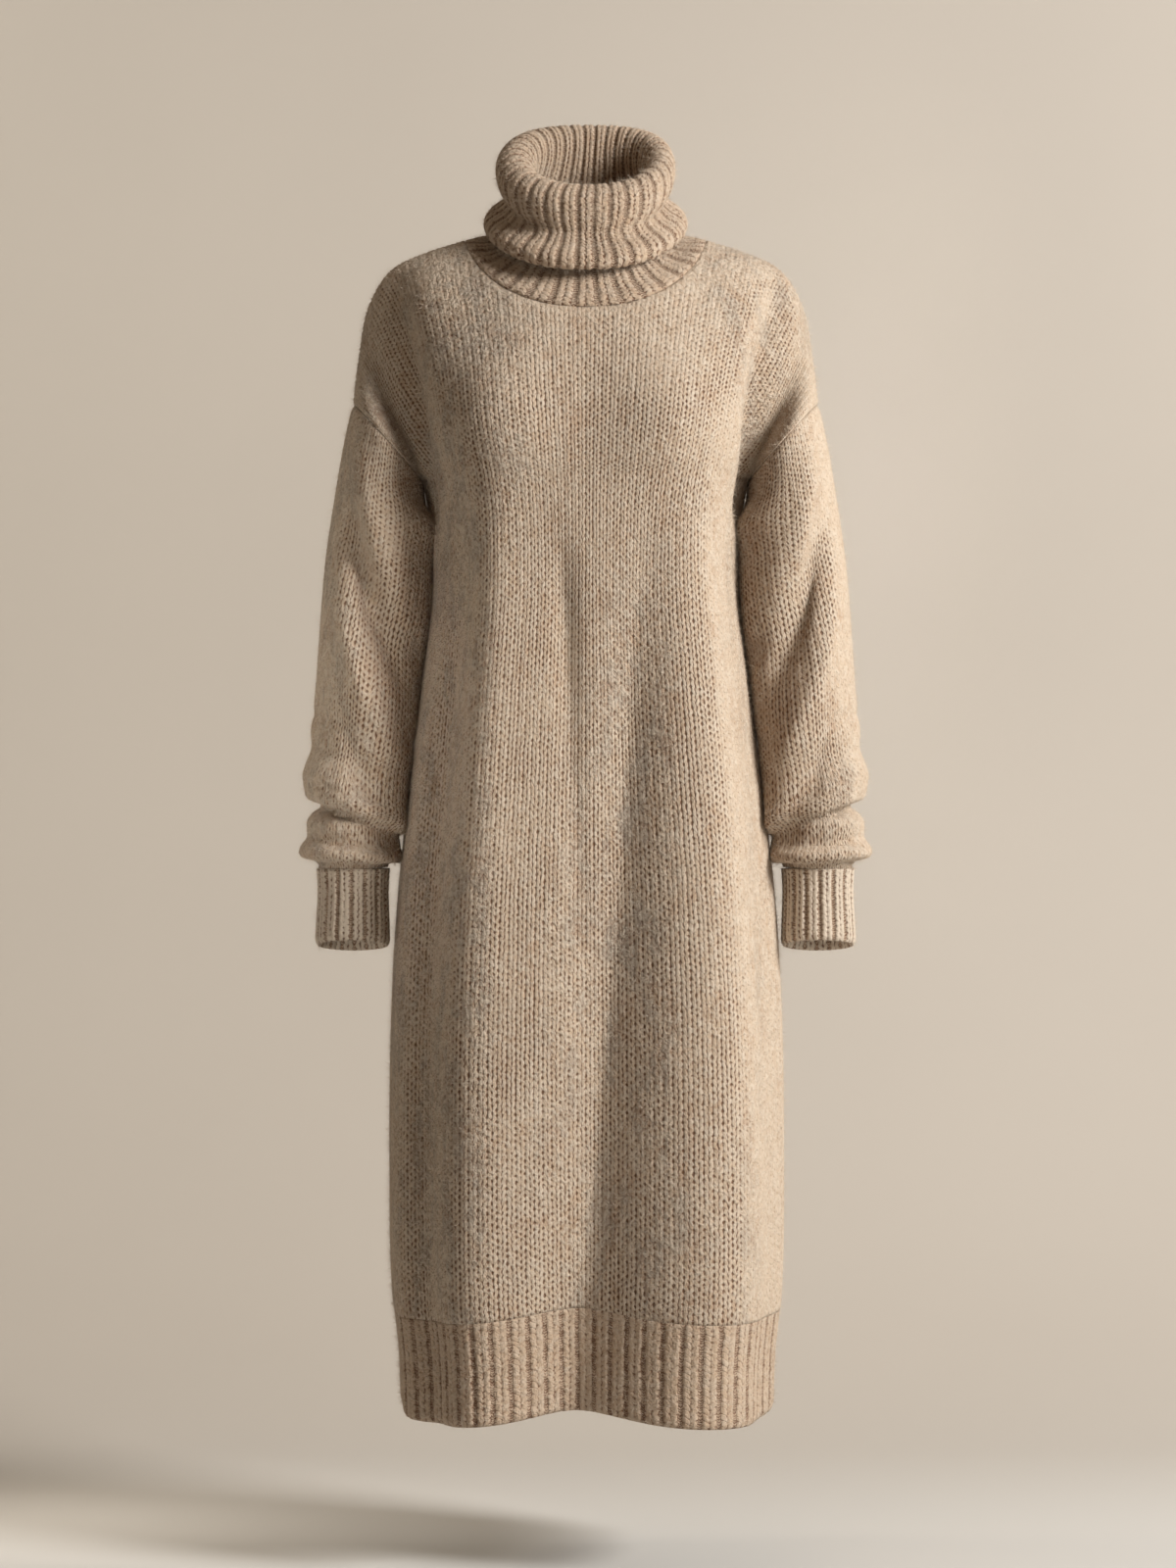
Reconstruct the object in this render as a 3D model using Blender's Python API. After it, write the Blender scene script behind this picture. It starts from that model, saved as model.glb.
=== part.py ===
"""A chunky knitted sweater dress, hollow as it hangs on a wearer who isn't there.

Metres, +Z up, front towards -Y. The origin is the middle of the neck base, level with the tops of
the shoulders, where the wearer carries the dress. Each sub-part is a closed wall of cloth: an outer
grid of points on a smooth surface and an inner one a cloth's thickness behind it. Stocking-stitch
cloth is a plain wall. Ribbing is raised in the points of the faces that show.
"""

import math
from collections import namedtuple

import bmesh
import bpy
import numpy as np

# ---- cloth ---------------------------------------------------------------------------------------
WALL = 0.0036  # stocking stitch
RIB_WALL = 0.0034  # ribbing, measured in its grooves
RIB_HEIGHT = 0.0024  # how far a rib stands out of its groove
SEAM_GAP = 0.0003

# ---- knitting counts -----------------------------------------------------------------------------
HEM_RIBS = 35  # on each of the two panels
CUFF_RIBS = 16
COLLAR_RIBS = 34
RIB_POINTS = ((0.0, 0.0), (0.30, 1.0), (0.72, 1.0))  # phase within a rib, share of its height

# ---- body: sections of the skirt, from the underarm down -------------------------------------------
BodySection = namedtuple("BodySection", "z half_width front back")
BODY = (
    BodySection(-0.216, 0.1490, 0.131, 0.129),  # underarm
    BodySection(-0.245, 0.1435, 0.131, 0.127),
    BodySection(-0.305, 0.1395, 0.130, 0.121),  # waist
    BodySection(-0.408, 0.1500, 0.133, 0.123),
    BodySection(-0.493, 0.1605, 0.137, 0.129),  # hip
    BodySection(-0.600, 0.1715, 0.141, 0.134),
    BodySection(-0.840, 0.1790, 0.145, 0.138),
    BodySection(-0.977, 0.1755, 0.144, 0.137),  # seam of the hem rib
    BodySection(-1.015, 0.1715, 0.142, 0.135),
    BodySection(-1.070, 0.1695, 0.141, 0.134),  # lower edge
)
UNDERARM_Z = BODY[0].z
HEM_SEAM_Z = BODY[-3].z
HEM_EDGE_Z = BODY[-1].z
SKIRT_LENGTH = UNDERARM_Z - HEM_SEAM_Z
YOKE_LENGTH = 0.250  # of cloth from the shoulder line to the underarm, nominally
BODY_SQUARENESS = 2.5  # exponent of the superellipse that a section is
# The courses rise between the two big folds and, less, towards the side seams.
HEM_CENTRE_LIFT = 0.0125
HEM_CENTRE_SPREAD = 0.24
HEM_SIDE_LIFT = 0.0055
HEM_EDGE_SIDE_LIFT = 0.0065  # the lower edge rises so much more
HEM_LIFT_TOP_Z = -0.600

# ---- yoke: the shoulder line, from the side of the neck to the top of the armhole ------------------
ShoulderPoint = namedtuple("ShoulderPoint", "u x z")
NECK_U = 0.34  # share of a half panel's width that the neckline takes
SHOULDER = (
    ShoulderPoint(-0.17, -0.0550, 0.0290),  # as on the other side of the middle
    ShoulderPoint(0.00, 0.0000, 0.0360),  # no cloth here: the surface runs on under the collar
    ShoulderPoint(0.17, 0.0550, 0.0290),
    ShoulderPoint(NECK_U, 0.1100, 0.0040),
    ShoulderPoint(0.45, 0.1440, -0.0070),
    ShoulderPoint(0.58, 0.1790, -0.0245),
    ShoulderPoint(0.70, 0.1985, -0.0560),
    ShoulderPoint(0.85, 0.2080, -0.1050),
    ShoulderPoint(1.00, 0.2130, -0.1480),
)
NECKLINE_DROP = {-1: 0.069, 1: -0.006}  # below the neck point at the middle of front and back
NECKLINE_SHAPE = 2.4
CHEST_POWER = {-1: 1.18, 1: 0.77}  # over 1 a straighter slope from neck to chest, under 1 a rounder one
ARMHOLE_DEPTH = 0.078  # half the armhole, front to back
ARM_TURN_U = 0.70  # from here outwards the cloth starts to turn under the arm

# ---- folds of the two panels ---------------------------------------------------------------------
PanelFold = namedtuple(
    "PanelFold", "top_u hem_u top_z full_z mid_height hem_height top_width hem_width shape"
)
FOLDS = {
    -1: (
        PanelFold(0.30, -0.03, -0.240, -0.480, -0.014, -0.040, 0.09, 0.20, 1.6),
        PanelFold(-0.39, -0.38, -0.100, -0.330, 0.011, 0.016, 0.12, 0.16, 2.0),
        PanelFold(0.48, 0.45, -0.140, -0.330, 0.012, 0.026, 0.13, 0.22, 2.0),
        PanelFold(-0.55, -0.57, -0.180, -0.480, -0.007, -0.009, 0.07, 0.08, 2.0),
        PanelFold(-0.70, -0.71, -0.300, -0.560, 0.004, 0.006, 0.08, 0.08, 2.0),
        PanelFold(-0.13, 0.06, -0.240, -0.360, -0.008, 0.003, 0.06, 0.07, 1.6),
        PanelFold(0.70, 0.66, -0.330, -0.600, -0.004, -0.005, 0.09, 0.10, 2.0),
        PanelFold(0.84, 0.82, -0.380, -0.640, 0.003, 0.004, 0.09, 0.09, 2.0),
    ),
    1: (
        PanelFold(0.10, -0.06, -0.220, -0.500, -0.009, -0.030, 0.10, 0.17, 2.0),
        PanelFold(-0.34, -0.42, -0.180, -0.420, 0.008, 0.014, 0.14, 0.16, 2.0),
        PanelFold(0.42, 0.34, -0.160, -0.440, 0.009, 0.013, 0.13, 0.15, 2.0),
        PanelFold(0.62, 0.60, -0.300, -0.560, -0.005, -0.010, 0.10, 0.10, 2.0),
        PanelFold(0.78, 0.80, -0.340, -0.620, 0.004, 0.006, 0.09, 0.09, 2.0),
        PanelFold(-0.68, -0.70, -0.280, -0.540, -0.005, -0.008, 0.10, 0.10, 2.0),
    ),
}
FOLD_PATH_BEND = 0.7  # under 1, a fold leans more at its top than at the hem
CHEST_FULLNESS = 0.015  # two soft rounds of the front, and one broad one of the back
CHEST_X, CHEST_Z = 0.078, -0.168
CHEST_SPREAD_X, CHEST_SPREAD_Z = 0.045, 0.056
BACK_SPREAD_X = 0.105
# The crease that runs from the armpit up towards the shoulder, on each side of front and back.
CreasePoint = namedtuple("CreasePoint", "f u front_depth back_depth")
ARM_CREASE = (
    CreasePoint(0.12, 0.575, 0.000, 0.000),
    CreasePoint(0.27, 0.600, 0.007, 0.002),
    CreasePoint(0.47, 0.620, 0.012, 0.005),
    CreasePoint(0.62, 0.635, 0.015, 0.009),
    CreasePoint(0.72, 0.660, 0.017, 0.013),
    CreasePoint(0.85, 0.710, 0.017, 0.016),
    CreasePoint(1.00, 0.800, 0.014, 0.014),
)
ARM_CREASE_WIDTH = 0.075
CREASE_BELOW = 0.06  # it fades out this far below the underarm
LEVEL_FROM = 0.35  # over this last share of the yoke, folds come to move the cloth only sideways

# ---- sleeve: sections from the armhole to the cuff, on the +X side ----------------------------------
SleeveSection = namedtuple("SleeveSection", "t x y z half_width half_depth tilt_deg")
SLEEVE = (
    SleeveSection(0.00, 0.18125, 0.000, -0.182, 0.04655, ARMHOLE_DEPTH, 46.97),
    SleeveSection(0.15, 0.1885, -0.001, -0.240, 0.0430, 0.073, 24.0),
    SleeveSection(0.32, 0.1925, -0.003, -0.305, 0.0465, 0.068, 6.0),
    SleeveSection(0.57, 0.2010, -0.009, -0.405, 0.0455, 0.062, 0.0),
    SleeveSection(0.76, 0.2085, -0.016, -0.475, 0.0445, 0.056, 0.0),
    SleeveSection(0.90, 0.2125, -0.023, -0.530, 0.0405, 0.049, 0.0),
    SleeveSection(1.00, 0.2120, -0.027, -0.572, 0.0335, 0.038, 0.0),
)
SleeveFold = namedtuple("SleeveFold", "t_outer t_inner outer_height inner_height spread")
# Rolls and dips that ring the sleeve above the cuff; each slants from its outer to its inner side.
SLEEVE_ROLLS = (
    SleeveFold(0.725, 0.800, -0.0025, -0.0010, 0.028),
    SleeveFold(0.790, 0.890, 0.0050, 0.0070, 0.036),
    SleeveFold(0.866, 0.945, -0.0125, -0.0060, 0.021),
    SleeveFold(0.948, 0.975, 0.0100, 0.0060, 0.025),
)
ROLL_SAG = 0.45  # of its height, that a roll hangs lower than it would
SLEEVE_PRESS = 0.014  # how far the inner side of a sleeve would reach if the body weren't there
SLEEVE_CLEAR = 0.0013  # of the body, at the side seam
SLEEVE_CLEAR_FOLDS = 0.0040  # more so far from the side seam that the body has folds
FOLDS_FROM_Y = 0.030
PRESS_ROUND = 0.006
SleeveCrease = namedtuple("SleeveCrease", "t_from angle_from t_to angle_to depth spread")
# Angles run round the sleeve from the underarm (0) by the front (90) to the outer side (180).
SLEEVE_CREASES = (
    SleeveCrease(0.12, 138.0, 0.50, 62.0, 0.0055, 17.0),
    SleeveCrease(0.42, 60.0, 0.56, 20.0, 0.0050, 16.0),
    SleeveCrease(0.62, 150.0, 0.78, 112.0, 0.0035, 18.0),
    SleeveCrease(0.18, 236.0, 0.52, 300.0, 0.0050, 18.0),
    SleeveCrease(0.58, 215.0, 0.76, 262.0, 0.0040, 18.0),
)

# ---- cuff ----------------------------------------------------------------------------------------
CuffSection = namedtuple("CuffSection", "w x y half_width half_depth tilt")
CUFF_LENGTH = 0.070
CUFF = (
    CuffSection(0.00, 0.2120, -0.0270, 0.0335, 0.0375, 0.00),
    CuffSection(0.30, 0.2120, -0.0285, 0.0325, 0.0355, 0.04),
    CuffSection(0.65, 0.2122, -0.0300, 0.0335, 0.0362, 0.10),
    CuffSection(1.00, 0.2124, -0.0310, 0.0345, 0.0374, 0.16),
)

# ---- collar: stations of its middle surface, from the neck seam over the top to the free edge -------
CollarStation = namedtuple("CollarStation", "x half_width y_front y_back z_front z_side z_back")
COLLAR = (
    CollarStation(0.0000, 0.0735, -0.0765, 0.0600, -0.0265, 0.0095, 0.0400),
    CollarStation(0.0010, 0.0610, -0.0665, 0.0490, -0.0040, 0.0330, 0.0650),
    CollarStation(0.0030, 0.0535, -0.0610, 0.0430, 0.0180, 0.0580, 0.0880),
    CollarStation(0.0040, 0.0545, -0.0615, 0.0435, 0.0340, 0.0750, 0.1040),
    CollarStation(0.0030, 0.0625, -0.0680, 0.0500, 0.0435, 0.0850, 0.1135),
    CollarStation(0.0015, 0.0725, -0.0775, 0.0590, 0.0415, 0.0835, 0.1120),
    CollarStation(0.0000, 0.0790, -0.0855, 0.0660, 0.0300, 0.0725, 0.1010),
    CollarStation(0.0000, 0.0765, -0.0860, 0.0665, 0.0140, 0.0570, 0.0850),
    CollarStation(0.0000, 0.0680, -0.0835, 0.0640, 0.0020, 0.0440, 0.0690),
    CollarStation(0.0000, 0.0745, -0.0870, 0.0695, -0.0090, 0.0345, 0.0560),
    CollarStation(0.0000, 0.0855, -0.0930, 0.0770, -0.0170, 0.0275, 0.0460),
    CollarStation(0.0000, 0.0900, -0.0965, 0.0810, -0.0230, 0.0215, 0.0380),
    CollarStation(0.0000, 0.0890, -0.0960, 0.0805, -0.0285, 0.0165, 0.0320),
    CollarStation(0.0000, 0.0835, -0.0915, 0.0760, -0.0310, 0.0145, 0.0295),
)
COLLAR_SQUARENESS = 2.35
COLLAR_BASE_ROWS = 3  # from the neck seam up to the first station
COLLAR_ROWS = COLLAR_BASE_ROWS + len(COLLAR) - 1
COLLAR_BASE_SAG = 0.0038  # how far the base hangs below the straight way there

# ---- how finely each piece is divided ----------------------------------------------------------------
NECK_COLUMNS = COLLAR_RIBS // 2  # on each panel, so that ribs start at its corners
SHOULDER_COLUMNS = 7  # each side
UNDERARM_DIP = 0.040  # the row of points that starts at the underarm dips so far below it
UNDERARM_DIP_SPREAD = 0.20
YOKE_SHARES = tuple(n / 9 for n in range(10))  # rows from the shoulder line to the underarm
SKIRT_ROWS = 13
HEM_ROWS = 3
SLEEVE_ROWS_T = (
    0.0, 0.07, 0.15, 0.24, 0.33, 0.42, 0.50, 0.57, 0.64, 0.71, 0.76,
    0.80, 0.835, 0.865, 0.888, 0.91, 0.935, 0.955, 0.978, 1.0,
)
CUFF_ROWS = 4

# Steps of each surface's two parameters over which its slopes are measured.
PANEL_STEPS = (0.025, 0.008)
TUBE_STEPS = (0.06, 0.02)
COLLAR_STEPS = (0.006, 0.30)
FRONT, BACK = -1, 1


def smooth(t):
    """0 to 1 with no corner at either end."""
    t = np.clip(t, 0.0, 1.0)
    return t * t * (3 - 2 * t)


def bell(distance, width, shape=2.0):
    """1 at no distance and nearly 0 at twice the width. A shape under 2 has a sharper top."""
    return np.exp(-(np.abs(distance / width) ** shape))


def unit(vectors):
    length = np.linalg.norm(vectors, axis=-1, keepdims=True)
    return vectors / np.maximum(length, 1e-12)


def through(table, key, column, at):
    """A smooth curve through a table's column, over its key column."""
    rows = sorted((getattr(row, key), getattr(row, column)) for row in table)
    xs, ys = np.array(rows).T
    slopes = np.gradient(ys, xs)
    at = np.clip(at, xs[0], xs[-1])
    i = np.clip(np.searchsorted(xs, at, side="right") - 1, 0, len(xs) - 2)
    step = xs[i + 1] - xs[i]
    t = (at - xs[i]) / step
    return (
        ys[i] * (1 + 2 * t) * (1 - t) ** 2
        + ys[i + 1] * t * t * (3 - 2 * t)
        + step * (slopes[i] * t * (1 - t) ** 2 - slopes[i + 1] * t * t * (1 - t))
    )


def even_angles(width, depth, squareness):
    """A superellipse quadrant's angles at even steps of its arc: (shares, angles from its depth axis)."""
    angles = np.linspace(0, math.pi / 2, 400)
    x = width * np.sin(angles) ** (2 / squareness)
    y = depth * np.cos(angles) ** (2 / squareness)
    run = np.concatenate([[0], np.cumsum(np.hypot(np.diff(x), np.diff(y)))])
    return run / run[-1], angles


HIP = BODY[4]
BODY_ARC = even_angles(HIP.half_width, HIP.front, BODY_SQUARENESS)


def body_ring(side, u, z):
    """A point of the plain body, u from -1 at the -X side seam to 1 at the +X one."""
    angle = np.interp(np.abs(u), *BODY_ARC)
    power = 2 / BODY_SQUARENESS
    depth = through(BODY, "z", "front" if side == FRONT else "back", z)
    x = np.sign(u) * through(BODY, "z", "half_width", z) * np.sin(angle) ** power
    y = side * depth * np.maximum(np.cos(angle), 0) ** power
    return np.stack([x, y, z], axis=-1)


def shoulder_line(u):
    """(x, z) of the shoulder line at |u|."""
    return through(SHOULDER, "u", "x", np.abs(u)), through(SHOULDER, "u", "z", np.abs(u))


def chest_power(side, u):
    return 1 + (CHEST_POWER[side] - 1) * (1 - smooth(np.abs(u) / 0.6))


def yoke(side, u, f):
    """A point above the underarm: f is 0 on the shoulder line and 1 level with the underarm."""
    low = body_ring(side, u, np.full_like(u, UNDERARM_Z))
    top_x, top_z = shoulder_line(u)
    turn = ARMHOLE_DEPTH * smooth((np.abs(u) - ARM_TURN_U) / (1 - ARM_TURN_U))
    depth = np.hypot(low[..., 1], turn)
    span = math.pi / 2 + np.arctan2(turn, np.abs(low[..., 1]))
    power = chest_power(side, u)
    angle = span * f
    forward = np.abs(np.sin(angle)) ** power
    drop = 1 - np.sign(np.cos(angle)) * np.abs(np.cos(angle)) ** power
    drop = drop / (1 - np.cos(span))
    x = top_x + (np.abs(low[..., 0]) - top_x) * drop
    z = top_z + (low[..., 2] - top_z) * drop
    return np.stack([np.sign(u) * x, side * depth * forward, z], axis=-1)


def neckline(side, u):
    """v where the neckline cuts the yoke; outside the neck points, on the shoulder line."""
    q = np.minimum(np.abs(u) / NECK_U, 1.0)
    _, top_z = shoulder_line(u)
    neck_point_z = float(shoulder_line(NECK_U)[1])
    z = neck_point_z - NECKLINE_DROP[side] * np.sqrt(1 - q**NECKLINE_SHAPE)
    left = 1 - (top_z - z) / (top_z - UNDERARM_Z)
    f = np.arccos(np.clip(left, 0, 1) ** (1 / chest_power(side, u))) / (math.pi / 2)
    return YOKE_LENGTH * (np.where(np.abs(u) < NECK_U, f, 0.0) - 1)


def panel_base(side, u, v):
    """v is in metres down the cloth: -YOKE_LENGTH on the shoulder line and 0 at the underarm."""
    above = yoke(side, u, np.clip(1 + v / YOKE_LENGTH, 0, 1))
    below = body_ring(side, u, UNDERARM_Z - np.maximum(v, 0))
    return np.where((v < 0)[..., None], above, below)


def panel_height(side, u, v, points):
    """How far folds and fullness move the cloth outwards."""
    x, z = points[..., 0], points[..., 2]
    height = np.zeros_like(u)
    for fold in FOLDS[side]:
        share = np.clip((fold.top_z - z) / (fold.top_z - HEM_EDGE_Z), 0, 1)
        centre = fold.top_u + (fold.hem_u - fold.top_u) * share**FOLD_PATH_BEND
        rise = smooth((fold.top_z - z) / (fold.top_z - fold.full_z))
        grown = fold.mid_height + (fold.hem_height - fold.mid_height) * share**1.5
        width = fold.top_width + (fold.hem_width - fold.top_width) * share
        height += rise * grown * bell(u - centre, width, fold.shape)
    if side == FRONT:
        across = bell(np.abs(x) - CHEST_X, CHEST_SPREAD_X)
    else:
        across = bell(x, BACK_SPREAD_X, 3.0)
    height += CHEST_FULLNESS * across * bell(z - CHEST_Z, CHEST_SPREAD_Z)
    f = 1 + np.minimum(v, 0) / YOKE_LENGTH
    crease = through(ARM_CREASE, "f", "front_depth" if side == FRONT else "back_depth", f)
    crease = np.maximum(crease, 0) * (f > ARM_CREASE[0].f)
    crease = crease * bell(np.abs(u) - through(ARM_CREASE, "f", "u", f), ARM_CREASE_WIDTH)
    height -= crease * (1 - smooth(v / CREASE_BELOW))
    at_shoulder = smooth(f / 0.25)
    at_edge = smooth((1 - np.abs(u)) / 0.12)
    return height * at_shoulder * at_edge


def measured_normal(surface, u, v, steps):
    """Unit normals of a surface, from its slopes over small steps. They point along d/dv x d/du."""
    across = surface(u + steps[0], v) - surface(u - steps[0], v)
    along = surface(u, v + steps[1]) - surface(u, v - steps[1])
    return unit(np.cross(along, across))


def panel(side, u, v):
    """A point of the outer face of the front or the back, with its folds."""
    def plain(a, b):
        return panel_base(side, np.clip(a, -1, 1), np.maximum(b, -YOKE_LENGTH))

    points = plain(u, v)
    outward = measured_normal(plain, u, v, PANEL_STEPS) * -side
    height = panel_height(side, u, v, points)
    moved = points + outward * height[..., None]
    z = points[..., 2]
    at_side = smooth((np.abs(u) - 0.6) / 0.4)
    lift = HEM_CENTRE_LIFT * bell(u - FOLDS[side][0].hem_u, HEM_CENTRE_SPREAD)
    lift = lift + HEM_SIDE_LIFT * at_side
    lift = lift * smooth((HEM_LIFT_TOP_Z - z) / (HEM_LIFT_TOP_Z - HEM_SEAM_Z))
    lift = lift + HEM_EDGE_SIDE_LIFT * at_side * smooth((HEM_SEAM_Z - z) / (HEM_SEAM_Z - HEM_EDGE_Z))
    keep = 1 - smooth(1 + v / (LEVEL_FROM * YOKE_LENGTH))
    moved[..., 2] = z + (moved[..., 2] - z) * keep + np.where(v >= 0, lift, 0)
    return moved


def panel_normal(side, u, v):
    def surface(a, b):
        return panel(side, np.clip(a, -1, 1), np.maximum(b, -YOKE_LENGTH))

    return measured_normal(surface, u, v, PANEL_STEPS) * -side


def beside_body(y, z):
    """The x at which a sleeve that is pressed against the body lies just clear of it."""
    depth = np.where(y < 0, through(BODY, "z", "front", z), through(BODY, "z", "back", z))
    share = np.clip(np.abs(y) / depth, 0, 1)
    side = through(BODY, "z", "half_width", z) * (1 - share**BODY_SQUARENESS) ** (1 / BODY_SQUARENESS)
    folds = SLEEVE_CLEAR_FOLDS * smooth((np.abs(y) - FOLDS_FROM_Y) / FOLDS_FROM_Y)
    return side + SLEEVE_CLEAR + folds


def sleeve(angle, t):
    """A point of the +X sleeve's outer face: angle 0 underarm, pi/2 front, pi outer side."""
    def section(a, b):
        value = {c: through(SLEEVE, "t", c, b) for c in SleeveSection._fields[1:]}
        tilt = np.radians(value["tilt_deg"])
        reach = -value["half_width"] * np.cos(a)
        x = value["x"] + reach * np.cos(tilt)
        y = value["y"] - value["half_depth"] * np.sin(a)
        z = value["z"] + reach * np.sin(tilt)
        return np.stack([x, y, z], axis=-1)

    rolls = np.zeros_like(angle)
    inner_share = (1 + np.cos(angle)) / 2
    for roll in SLEEVE_ROLLS:
        centre = roll.t_outer + (roll.t_inner - roll.t_outer) * inner_share
        peak = roll.outer_height + (roll.inner_height - roll.outer_height) * inner_share
        rolls += peak * bell(t - centre, roll.spread)
    height = rolls.copy()
    degrees = np.degrees(angle) % 360
    for crease in SLEEVE_CREASES:
        share = np.clip((t - crease.t_from) / (crease.t_to - crease.t_from), 0, 1)
        centre = crease.angle_from + (crease.angle_to - crease.angle_from) * share
        past = t - np.clip(t, crease.t_from, crease.t_to)
        strength = bell(past, 0.05) * (0.5 + 0.5 * np.sin(math.pi * share))
        off_centre = (degrees - centre + 180) % 360 - 180
        height -= crease.depth * strength * bell(off_centre, crease.spread)
    inside = smooth(t / 0.12) * smooth((1 - t) / 0.03)
    outward = measured_normal(section, angle, t, TUBE_STEPS)
    points = section(angle, t) + outward * (height * inside)[..., None]
    points[..., 2] -= ROLL_SAG * rolls * inside
    pressed = smooth((t - 0.04) / 0.16) * smooth((1 - t) / 0.05)
    x = points[..., 0]
    reach = x - SLEEVE_PRESS * np.maximum(np.cos(angle), 0)
    limit = beside_body(points[..., 1], points[..., 2])
    over = reach - limit
    held_off = limit + (over + np.sqrt(over**2 + PRESS_ROUND**2)) / 2
    points[..., 0] = x + (held_off - x) * pressed
    return points


def sleeve_normal(angle, t):
    return measured_normal(lambda a, b: sleeve(a, np.clip(b, 0, 1)), angle, t, TUBE_STEPS)


def cuff(angle, w):
    """A point of the +X cuff's middle surface: w is 0 at the sleeve and 1 at the lower edge."""
    value = {c: through(CUFF, "w", c, w) for c in CuffSection._fields[1:]}
    x = value["x"] - value["half_width"] * np.cos(angle)
    y = value["y"] - value["half_depth"] * np.sin(angle)
    seam_z = SLEEVE[-1].z
    z = seam_z - CUFF_LENGTH * w + value["tilt"] * value["half_depth"] * np.sin(angle)
    return np.stack([x, y, z], axis=-1)


def evenly_along(curve, start, end, count):
    """count + 1 values from start to end that are equal distances apart along a curve."""
    values = np.linspace(start, end, 2000)
    points = curve(values)
    run = np.concatenate([[0], np.cumsum(np.linalg.norm(np.diff(points, axis=0), axis=1))])
    return np.interp(np.linspace(0, run[-1], count + 1), run, values)


def neck_columns(side):
    """u of the panel's columns along its neckline, from the -X neck point to the +X one."""
    def curve(angle):
        u = NECK_U * np.sin(angle)
        return panel(side, u, neckline(side, u))

    return NECK_U * np.sin(evenly_along(curve, -math.pi / 2, math.pi / 2, NECK_COLUMNS))


def neck_ring():
    """The corners of the neck seam: -X neck point, front, +X neck point, back, and round again."""
    front, back = (neck_columns(side) for side in (FRONT, BACK))
    front = panel(FRONT, front, neckline(FRONT, front))
    back = panel(BACK, back, neckline(BACK, back))
    return np.concatenate([front, back[-2::-1]])


def along_polygon(corners, share):
    """Points on the straight edges between corners, at shares 0..1 of their number."""
    place = np.clip(share, 0, 1) * (len(corners) - 1)
    first = np.minimum(np.floor(place).astype(int), len(corners) - 2)
    rest = (place - first)[..., None]
    return corners[first] * (1 - rest) + corners[first + 1] * rest


CollarRow = namedtuple("CollarRow", "k value")
RIM = COLLAR[5]
COLLAR_ARC = even_angles(RIM.half_width, (RIM.y_back - RIM.y_front) / 2, COLLAR_SQUARENESS)


def collar_station(turn, k):
    """A point of station k of the collar's middle surface; k may lie between two stations."""
    value = {}
    for column in CollarStation._fields:
        line = [CollarRow(n, getattr(row, column)) for n, row in enumerate(COLLAR)]
        value[column] = through(line, "k", "value", k)
    quarter = 4 * (turn % 1.0)
    from_depth_axis = np.abs((quarter % 2) - 1)
    angle = np.interp(from_depth_axis, *COLLAR_ARC)
    power = 2 / COLLAR_SQUARENESS
    cosine = np.where((quarter > 1) & (quarter < 3), 1, -1) * np.sin(angle) ** power
    sine = np.where(quarter < 2, -1, 1) * np.cos(angle) ** power
    depth = np.where(sine < 0, -value["y_front"], value["y_back"])
    tilt = (value["z_back"] - value["z_front"]) / 2
    saddle = (value["z_back"] + value["z_front"]) / 2 - value["z_side"]
    z = value["z_side"] + tilt * sine + saddle * sine**2
    return np.stack([value["x"] + value["half_width"] * cosine, depth * sine, z], axis=-1)


def collar(turn, s, ring):
    """The collar's middle surface: s is 0 at the neck seam, and counts rows of points up from it."""
    share = np.clip(s / COLLAR_BASE_ROWS, 0, 1)
    points = collar_station(turn, np.maximum(s - COLLAR_BASE_ROWS, 0))
    seam = along_polygon(ring, turn % 1.0)
    points = seam + (points - seam) * share[..., None]
    points[..., 2] -= COLLAR_BASE_SAG * 4 * share * (1 - share)
    return points


def collar_normal(turn, s, ring):
    """Unit normals on the side that shows once the collar is turned down."""
    def surface(a, b):
        return collar(a, np.clip(b, 0, COLLAR_ROWS), ring)

    return measured_normal(surface, turn, s, COLLAR_STEPS)


# ---- meshes --------------------------------------------------------------------------------------
def new_object(name, verts, faces, colour, roughness=0.95):
    mesh = bpy.data.meshes.new(name)
    mesh.from_pydata([tuple(map(float, p)) for p in verts], [], faces)
    bm = bmesh.new()
    bm.from_mesh(mesh)
    bmesh.ops.recalc_face_normals(bm, faces=bm.faces)
    bm.to_mesh(mesh)
    bm.free()
    mesh.shade_smooth()
    mesh.set_sharp_from_angle(angle=math.radians(50))
    material = bpy.data.materials.new(name)
    material.use_nodes = True
    shader = material.node_tree.nodes["Principled BSDF"]
    shader.inputs["Base Color"].default_value = (*colour, 1)
    shader.inputs["Roughness"].default_value = roughness
    shader.inputs["Metallic"].default_value = 0.0
    mesh.materials.append(material)
    obj = bpy.data.objects.new(name, mesh)
    bpy.context.scene.collection.objects.link(obj)
    return obj


def strip(first, second, closed):
    """Faces between two rows of point numbers, where second may have a whole multiple of first's steps."""
    faces = []
    steps = len(first) if closed else len(first) - 1
    ratio = (len(second) if closed else len(second) - 1) // steps
    for i in range(steps):
        a, b = first[i], first[(i + 1) % len(first)]
        fan = [second[(i * ratio + k) % len(second)] for k in range(ratio + 1)]
        if ratio == 1:
            faces.append((a, b, fan[1], fan[0]))
            continue
        half = ratio // 2
        for k in range(ratio):
            faces.append((a if k <= half else b, fan[k + 1], fan[k]))
        faces.append((a, b, fan[half + 1]))
    return faces


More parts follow.
